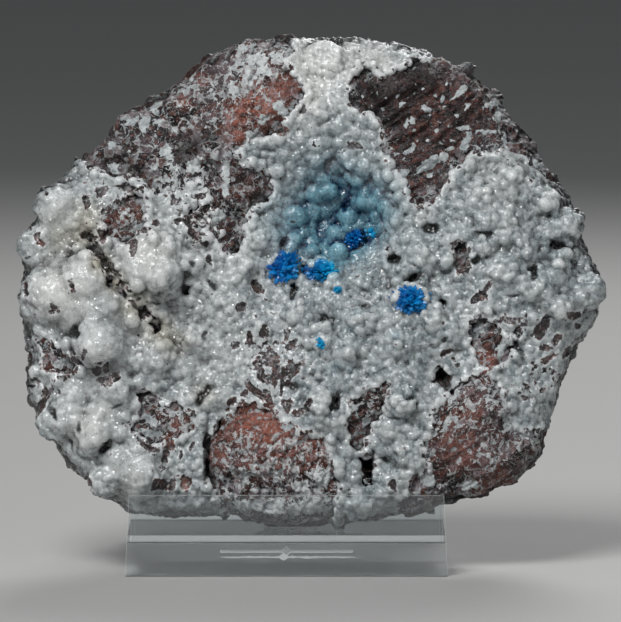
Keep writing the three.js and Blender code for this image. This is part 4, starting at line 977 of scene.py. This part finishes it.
# The bed is the skin that the balls sit on.
near_edge = np.clip((1 - blurred(crusted, 3)) * 2.2, 0, 1)
bed = grown_together(merged_copy("zeolite_crust"), BED_SQUARE, 4)
bed.normal_update()
bed_mesh = bpy.data.meshes.new("bed")
bed.to_mesh(bed_mesh)
around = averager(bed_mesh)


def eased(values, rounds):
    for _ in range(rounds):
        values = (values + around(values)) / 2
    return values


bed_spots = points_of(bed_mesh)
bed_places = seen(bed_spots)
bed_normals = np.array([vert.normal for vert in bed.verts])
even_normals = eased(bed_normals, 20)
bed_pits = np.clip(inside_flakes(bed_places, PITS) / 0.5 + 0.5, 0, 1)
thick = (1 - on_map(near_edge, bed_places)) * (1 - 0.9 * blobs(bed_places, SMOOTH))
thick = np.maximum(thick, np.clip(2.0 + 2.4 * even_normals[:, 1], 0, 1))
free = np.array([[vert.normal.y < 0.5 and opens_out(vert.co, vert.normal, 0.8 * MM)] for vert in bed.verts])
bed.free()
forward = eased(lumps_forward(bed_spots, even_normals) * free, 8)
sinks = eased(bed_normals * free * (BED_SINK * (0.25 + 0.75 * thick) + PIT_DEPTH * bed_pits)[:, None], 8)
bed_mesh.vertices.foreach_set("co", (bed_spots + forward - sinks).ravel())
nearest_bed = KDTree(len(bed_spots))
for number, spot in enumerate(bed_spots.tolist()):
    nearest_bed.insert(spot, number)
nearest_bed.balance()

outer = merged_copy("zeolite_crust")
outer.faces.ensure_lookup_table()
outer_faces = [face for face in outer.faces if face.normal.y < 0.5 and face.calc_area() > 1e-9]
outer_areas = list(itertools.accumulate(face.calc_area() for face in outer_faces))


def thrown(count):
    """Random spots of the crust's outside: where each lies, its normal, how its lump moves it, its place for
    the eye, and how smooth the crust is there."""
    faces = luck.choices(outer_faces, cum_weights=outer_areas, k=count)
    a, b, c = np.array([[vert.co for vert in face.verts] for face in faces]).transpose(1, 0, 2)
    first = np.sqrt([[luck.random()] for _ in faces])
    second = np.array([[luck.random()] for _ in faces])
    spots = a * (1 - first) + b * first * (1 - second) + c * first * second
    normals = np.array([face.normal for face in faces])
    places = seen(spots)
    moved = forward[[nearest_bed.find(spot)[1] for spot in spots.tolist()]]
    return zip(*(values.tolist() for values in (spots, normals, moved, places, blobs(places, SMOOTH))))


for low_share, high_share, tries in BALL_TRIES:
    for spot, normal, moved, (across, up), smooth in thrown(tries):
        spot, normal = Vector(spot), Vector(normal)
        _, low, high, spacing, proud = next(row for row in BALLS if inside(row[0], across, up))
        radius = (low + (high - low) * luck.uniform(low_share, high_share)) * MM
        centre = spot + Vector(moved) - normal * radius * (1 - proud + 0.14 * smooth)
        if any((centre - middle).length < reach + 0.75 * radius for middle, reach in sprays.values()):
            continue
        if not in_a_pit(across, up) and opens_out(spot, normal, 1.2 * MM):
            grow_ball(centre, radius, spacing)

# Small grains seat each cavansite ball in the crust.
for middle, reach in sprays.values():
    for _ in range(SEAT_THROWS):
        way = Vector([luck.gauss(0, 1) for _ in range(3)]).normalized()
        radius = luck.uniform(*SEAT_GRAIN) * MM
        centre = middle + way * (reach + 0.25 * radius)
        spot = crust_tree.find_nearest(centre)[0]
        if (spot - centre).length < 2.2 * MM and way.y > -0.35:
            grow_ball(centre, radius, 0.45)

# Balls that grow on the bare stone, some of them along the crack.
for across, up, half_length, half_width, turn in GROWTHS:
    for _ in range(GROWTH_THROWS):
        reach, angle = math.sqrt(luck.random()), luck.uniform(0, math.tau)
        along, aside = reach * half_length * math.cos(angle), reach * half_width * math.sin(angle)
        lean = math.radians(turn)
        x = across + along * math.cos(lean) - aside * math.sin(lean)
        z = up + along * math.sin(lean) + aside * math.cos(lean)
        start, direction = sight(x, z)
        if shows_stone(x, z) and not in_a_pit(x, z):
            radius = luck.uniform(*GROWTH_BALL) * MM
            grow_ball(matrix_tree.ray_cast(start, direction)[0] + direction * 0.3 * radius, radius, 0.7)

# Grains along the edges of the windows.
for _ in range(RIM_THROWS):
    across, up = luck.uniform(*FRONT_ACROSS), luck.uniform(*FRONT_UP)
    column, row = map_cell(np.array([[across, up]]))
    edge = near_edge[column[0], row[0]]
    if crusted[column[0], row[0]] < 1 or edge < 0.55 or in_a_pit(across, up):
        continue
    start, direction = sight(across, up)
    spot, normal, _, _ = crust_tree.ray_cast(start, direction)
    if spot is not None:
        radius = luck.uniform(*RIM_GRAIN) * MM
        grow_ball(spot - normal * 0.6 * radius, radius, 0.5)


def numbers_of(shape):
    """The points and faces of a bmesh as arrays. The bmesh is used up."""
    shape.verts.index_update()
    points = np.array([vert.co for vert in shape.verts])
    faces = np.array([[vert.index for vert in face.verts] for face in shape.faces])
    shape.free()
    return points, faces


ball_shape = bmesh.new()
bmesh.ops.create_icosphere(ball_shape, subdivisions=2, radius=1)
ball_points, ball_faces = numbers_of(ball_shape)


def joined_copies(points, faces, placings):
    """One bmesh of many copies of a shape, each put down by its own matrix."""
    moved = [points @ np.array(spin.to_3x3()).T + np.array(spin.translation) for spin in placings]
    numbered = [faces + len(points) * number for number in range(len(placings))]
    mesh = bpy.data.meshes.new("copies")
    mesh.from_pydata(np.concatenate(moved).tolist(), [], np.concatenate(numbered).tolist())
    shape = bmesh.new()
    shape.from_mesh(mesh)
    bpy.data.meshes.remove(mesh)
    return shape


def grooves(mesh):
    """How sunk each point lies among its neighbours: above 0 in a groove, below on a rise, in millimetres."""
    around = averager(mesh)
    spots, normals = points_of(mesh), normals_of(mesh)
    sunk = ((around(spots) - spots) * normals).sum(axis=1) / MM
    for _ in range(2):
        sunk = (sunk + around(sunk)) / 2
    return sunk


crust_material = stone_material("zeolite", 0.8, 0.2, 0.8)
crust_pieces = []
for name, (start, end) in CRUST_PARTS.items():
    placings = []
    for centre, radius in balls:
        angle = luck.uniform(0, math.tau)
        spin = Matrix.Rotation(angle, 4, Vector((luck.random(), luck.random(), 1)).normalized())
        squash = Matrix.Diagonal([radius * luck.uniform(0.9, 1.08) for _ in range(3)] + [1])
        if start * MM - radius < centre.x < end * MM + radius:
            placings.append(Matrix.Translation(centre) @ spin @ squash)
    shape = joined_copies(ball_points, ball_faces, placings)
    shape.from_mesh(bed_mesh)
    for side, x in ((-1, start), (1, end)):
        cut = bmesh.ops.bisect_plane(
            shape, geom=shape.verts[:] + shape.edges[:] + shape.faces[:], plane_co=(x * MM, 0, 0),
            plane_no=(side, 0, 0), clear_outer=True)
        edges = [part for part in cut["geom_cut"] if isinstance(part, bmesh.types.BMEdge)]
        bmesh.ops.holes_fill(shape, edges=edges, sides=0)
    piece = new_piece(name, grown_together(shape, CRUST_SQUARE, 5))
    spots = points_of(piece.data)
    around = averager(piece.data)
    melted = 0.5 * blobs(seen(spots), SMOOTH)[:, None]
    for _ in range(4):
        spots += melted * (around(spots) - spots)
    piece.data.vertices.foreach_set("co", spots.ravel())
    piece.data.update()
    thinned(piece, normals_of(piece.data)[:, 1] > 0.3, CRUST_TRIANGLES)
    spots = points_of(piece.data)
    places = seen(spots)
    knobs = np.sqrt(np.clip(1 - (chips(spots, 1.5 * MM, 55)[0] / 0.8) ** 2, 0, 1))
    lumpy = 0.16 * MM * knobs + 0.35 * MM * swell(spots, 2.6 * MM, 53)
    lumpy += 0.12 * MM * swell(spots, 1.2 * MM, 54)
    edge = on_map(near_edge, places)
    net = rough_swell(spots, 1.9 * MM, 61) - 1.25 + 1.3 * blobs(places, SHOWING)
    frayed = rough_swell(spots, 1.4 * MM, 63) - 1.5 + 1.08 * np.clip(edge * 1.4, 0, 1)
    bare = np.maximum.reduce([inside_flakes(places, SHARDS), net, frayed])
    front = normals_of(piece.data)[:, 1] < 0.3
    bare = np.where(front, bare, -1)
    raise_surface(piece.data, np.where(bare > 0, -0.35 * MM, lumpy))
    keep_off_stand(piece.data)
    paint(
        piece.data,
        bare=np.clip(bare, -1, 1),
        netting=0.2,
        rust=blobs(places, RUSTY),
        lilac=0,
        dark=0,
        blue=blobs(places, TINTED),
        ochre=blobs(places, STAINED),
        rim=np.maximum(edge, np.clip(1 + bare * 1.2, 0, 1) * (bare < 0)),
        pale=blobs(places, PALE),
    )
    piece.data.materials.append(crust_material)
    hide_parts("zeolite_crust")
    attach(piece, "root")
    crust_pieces.append(piece)

# Painted shade in the crevices between the balls, and painted light on what stands forward: by how far each
# point lies behind its neighbourhood.
PAINTED_SHADE_DEPTH = 3.2 * MM
MAP_EMPTY = 0.05  # behind everything, in metres
everything = np.concatenate([points_of(piece.data) for piece in crust_pieces + [matrix]])
nearest = np.full(map_size, MAP_EMPTY)
np.minimum.at(nearest, map_cell(seen(everything)), everything[:, 1])
met = nearest < MAP_EMPTY  # the squares that the stone fills
nearest, broad_nearest = (blurred(nearest * met, rounds) / np.maximum(blurred(met * 1.0, rounds), 1e-3)
                          for rounds in (4, 28))
for piece in crust_pieces + [matrix]:
    spots = points_of(piece.data)
    places = seen(spots)
    behind = (spots[:, 1] - on_map(nearest, places)) / PAINTED_SHADE_DEPTH
    turned = -normals_of(piece.data)[:, 1]
    pits = np.clip(inside_flakes(places, PITS) / 0.4, 0, 1)
    broadly_behind = (spots[:, 1] - on_map(broad_nearest, places)) / PAINTED_SHADE_DEPTH
    groove = np.clip(grooves(piece.data) * 18 - 0.1, 0, 1) * (1 - 0.6 * blobs(places, SMOOTH))
    groove *= piece is not matrix
    # Painted shade for points set back, in grooves and in pits, which are painted near black; painted light
    # (lift) for points that stand forward of their neighbourhood.
    set_back = np.clip(behind - 0.1, 0, 1) + 0.6 * np.clip(broadly_behind - 0.2, 0, 1)
    shade = set_back * np.clip(1.6 * turned, 0.3, 1) + 0.5 * groove + pits
    lift = np.clip(-0.6 * broadly_behind - 0.6 * behind, 0, 1)
    paint(piece.data, hollow=np.where(turned > -0.6, np.clip(shade, 0, 1) - lift, 0))

# ---- The cavansite ----
# Balls of deep blue cavansite, each a rosette of dozens or hundreds of pointed blades that grew out from one
# middle. Seven of them sit in and around the hollow.
# How many blades, how far they reach as a share of the ball, and how broad they are.
BLADES = {"cavansite_spray": (320, 1.15, 0.34), "cavansite_tuft": (70, 1.7, 0.6)}
# Each ball's stretch across and up, how turquoise it is in the middle, and how much more so to the right.
ROSETTES = {
    "cavansite_spray_left": (1.3, 1.15, 0.05, 0.3),
    "cavansite_spray_centre": (1.5, 0.9, 0.5, 0.6),
    "cavansite_spray_recess": (0.95, 1.1, 0, 0),
    "cavansite_spray_right": (1.35, 0.95, 0.15, 0.1),
    "cavansite_tuft_upper": (1, 1, 0.8, 0),
    "cavansite_tuft_middle": (1, 1, 0.8, 0),
    "cavansite_tuft_lower": (1, 1, 0.8, 0),
}
# Longer blades that lean one way from a ball: which ball, how many, and which way.
FAN = ("cavansite_spray_left", 24, Vector((0.62, -0.4, 0.68)))
GOLDEN_ANGLE = math.pi * (3 - math.sqrt(5))
blade_shape = bmesh.new()
bmesh.ops.create_cone(blade_shape, cap_ends=True, segments=4, radius1=0.25, radius2=0.5, depth=0.8)
top = max(blade_shape.faces, key=lambda face: face.calc_center_median().z)
tip = bmesh.ops.poke(blade_shape, faces=[top])
tip["verts"][0].co.z += 0.2
bmesh.ops.translate(blade_shape, verts=blade_shape.verts, vec=(0, 0, 0.4))
bmesh.ops.triangulate(blade_shape, faces=blade_shape.faces)
blade_points, blade_faces = numbers_of(blade_shape)

cavansite, tree, surface = new_material("cavansite", {"Roughness": 0.3, "IOR": 1.55})
where = place(tree, "ShaderNodeTexCoord").outputs["Object"]
shade, depth, fresh = (
    place(tree, "ShaderNodeAttribute", attribute_name=name).outputs["Fac"]
    for name in ("shade", "depth", "fresh"))
tone = between(tree, shade, light_values((0, 76, 158)), light_values((2, 132, 208)))
tone = tint(tree, stretch(tree, noise(tree, where, 0.5 * MM), 0.5, 0.8, 0, 0.5), tone, (70, 180, 232))
tone = tint(tree, fresh, tone, (0, 172, 222))
# Painted shade: the blades darken towards the middle of each ball, deep among the others.
tone = tint(tree, stretch(tree, depth, 0.3, 0.75, 1, 0), tone, (0, 40, 104))
tree.links.new(tone, surface.inputs["Base Color"])
bump = place(tree, "ShaderNodeBump", {
    "Height": noise(tree, where, 0.3 * MM, 3), "Strength": 0.4, "Distance": 0.1 * MM})
tree.links.new(bump.outputs[0], surface.inputs["Normal"])

for node, (middle, reach) in sprays.items():
    count, spread, breadth = BLADES[node.rsplit("_", 1)[0]]
    across_share, up_share, turquoise, more_turquoise = ROSETTES[node]
    radius = reach * spread
    shape = Matrix.Diagonal((across_share, 1, up_share, 1))
    placings, shades = [], []
    if node == FAN[0]:
        for _ in range(FAN[1]):
            way = (FAN[2] + Vector([luck.gauss(0, 0.2) for _ in range(3)])).normalized()
            blade = Matrix.Diagonal((0.3 * radius, 0.12 * radius, radius * luck.uniform(1.1, 1.6), 1))
            stand = way.to_track_quat("Z", "Y").to_matrix().to_4x4()
            placings.append(Matrix.Translation(middle) @ stand @ blade)
            shades.append(luck.uniform(0.6, 1))
    for number in range(count):
        height = 1 - 2 * (number + 0.5) / count
        angle = number * GOLDEN_ANGLE
        ring = math.sqrt(1 - height * height)
        way = Vector((ring * math.cos(angle), height, ring * math.sin(angle)))
        way = (way + Vector([luck.gauss(0, 0.14) for _ in range(3)])).normalized()
        length = radius * luck.uniform(0.72, 1.1)
        width = breadth * radius * luck.uniform(0.6, 1.3)
        stand = way.to_track_quat("Z", "Y").to_matrix().to_4x4()
        turn = Matrix.Rotation(luck.uniform(0, math.tau), 4, "Z")
        blade = Matrix.Diagonal((width, width * 0.65, length, 1))
        placings.append(Matrix.Translation(middle) @ shape @ stand @ turn @ blade)
        shades.append(luck.random())
    blades = joined_copies(blade_points, blade_faces, placings)
    piece = new_piece(node.replace("cavansite_", "cavansite_blades_"), blades)
    spots = points_of(piece.data)
    aside = (spots[:, 0] - middle.x) / radius
    paint(
        piece.data,
        shade=np.repeat(shades, len(blade_points)),
        depth=np.linalg.norm(spots - np.array(middle), axis=1) / radius,
        fresh=np.clip(turquoise + more_turquoise * aside, 0, 1),
    )
    piece.data.materials.append(cavansite)
    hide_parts(node)
    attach(piece, "root")

# ---- The acrylic easel ----
# One clear acrylic sheet, bent hot into a front plate, a shelf, a back rest and a rear leg, with polished
# edges and a thin engraved line on the front.
EDGE_ROUNDING = 0.5 * MM
SHEET = 2.11 * MM  # how thick the plate is
stand_shape = merged_copy("acrylic_stand")
bmesh.ops.dissolve_limit(
    stand_shape, angle_limit=math.radians(1), verts=stand_shape.verts, edges=stand_shape.edges)
for face in stand_shape.faces:
    if face.calc_center_median().y < PLATE_BACK + 2.5 * MM:
        face.material_index = 2  # the front plate, which lets a little less light through, with a faint white veil
stand = new_piece("easel", stand_shape)
rounding = stand.modifiers.new("polished edges", "BEVEL")
rounding.width = EDGE_ROUNDING
rounding.segments = 3
rounding.limit_method = "ANGLE"
rounding.angle_limit = math.radians(30)
rounding.material = 1
acrylic, tree, surface = new_material(
    "acrylic", {"Base Color": light_values((246, 249, 250)), "Transmission Weight": 1.0, "IOR": 1.49})
where = place(tree, "ShaderNodeTexCoord").outputs["Object"]
smears = stretch(tree, noise(tree, where, 9 * MM, 4, 0.6), 0.45, 0.7, 0.0, 0.06)
tree.links.new(smears, surface.inputs["Roughness"])
stand.data.materials.append(acrylic)
# The rounded edges are nearly opaque white, a painted highlight for the light that the polished edges catch.
edge_highlight = acrylic.copy()
edge_highlight.name = "acrylic edge highlight"
edge_surface = edge_highlight.node_tree.nodes["Principled BSDF"]
edge_highlight.node_tree.links.remove(edge_surface.inputs["Roughness"].links[0])
edge_surface.inputs["Roughness"].default_value = 0.35
edge_surface.inputs["Transmission Weight"].default_value = 0.15
stand.data.materials.append(edge_highlight)
veiled_plate = acrylic.copy()
veiled_plate.name = "veiled acrylic"
veiled_plate.node_tree.nodes["Principled BSDF"].inputs["Transmission Weight"].default_value = 0.94
stand.data.materials.append(veiled_plate)
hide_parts("acrylic_stand")
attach(stand, "root")

# A thin frosted line is engraved along the plate's front, with a lozenge in it.
LINE_ENDS, LINE_RISE, LOZENGE_X = (-24.8, 12.1), 5.3, -7.6  # mm
LINE_STEPS = 60
line_shape = bmesh.new()
above, below = [], []
for step in range(LINE_STEPS + 1):
    x = LINE_ENDS[0] + (LINE_ENDS[1] - LINE_ENDS[0]) * step / LINE_STEPS
    taper = 0.25 + 0.75 * math.sin(math.pi * step / LINE_STEPS) ** 0.5
    lozenge = max(0, 1 - abs(x - LOZENGE_X) / 1.1) * 0.9
    for row, side in ((above, 1), (below, -1)):
        z = LINE_RISE + side * (luck.uniform(0.08, 0.42) * taper + lozenge)
        row.append(line_shape.verts.new((x * MM, PLATE_BACK - SHEET + PLATE_LEAN * z * MM, z * MM)))
for step in range(LINE_STEPS):
    line_shape.faces.new((below[step], below[step + 1], above[step + 1], above[step]))
line = new_piece("engraved_line", line_shape)
depth = line.modifiers.new("depth", "SOLIDIFY")
depth.thickness = 0.04 * MM
frosted = new_material("frosted acrylic", {"Base Color": light_values((196, 200, 202)), "Roughness": 0.6})
line.data.materials.append(frosted[0])
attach(line, "root")

# ---- The studio ----
# A pale floor, a large soft lamp above the front left, a weak one at the front right, one behind, and a long
# lens in front.
floor_shape = bmesh.new()
bmesh.ops.create_grid(floor_shape, x_segments=1, y_segments=1, size=4)
floor = new_piece("floor", floor_shape)
floor_paint = new_material("floor", {"Base Color": (0.5, 0.5, 0.49, 1), "Roughness": 0.6})
floor.data.materials.append(floor_paint[0])


def soft_lamp(name, spot, size, watts):
    lamp = bpy.data.lights.new(name, "AREA")
    lamp.size = size
    lamp.energy = watts
    holder = bpy.data.objects.new(name, lamp)
    holder.location = spot
    holder.rotation_euler = (MIDDLE - Vector(spot)).to_track_quat("-Z", "Y").to_euler()
    bpy.context.scene.collection.objects.link(holder)


soft_lamp("key", (-0.4, -0.85, 1.1), 0.55, 14)
soft_lamp("fill", (0.9, -0.9, 0.35), 0.6, 1.0)
soft_lamp("back", (0.2, 0.9, 0.8), 0.6, 5)
world = bpy.data.worlds.new("studio")
world.use_nodes = True
world.node_tree.nodes["Background"].inputs[0].default_value = (0.75, 0.78, 0.8, 1)
world.node_tree.nodes["Background"].inputs[1].default_value = 0.12
bpy.context.scene.world = world
bpy.context.scene.view_settings.view_transform = "Standard"

PICTURE_WIDTH = 0.1725  # of what the picture takes in at the stone
lens = bpy.data.cameras.new("camera")
lens.lens = lens.sensor_width * EYE_DISTANCE / PICTURE_WIDTH
lens.clip_start = 0.1
camera = bpy.data.objects.new("camera", lens)
camera.location = EYE
camera.rotation_euler = (math.pi / 2 - EYE_RISE, 0, 0)
bpy.context.scene.collection.objects.link(camera)
bpy.context.scene.camera = camera
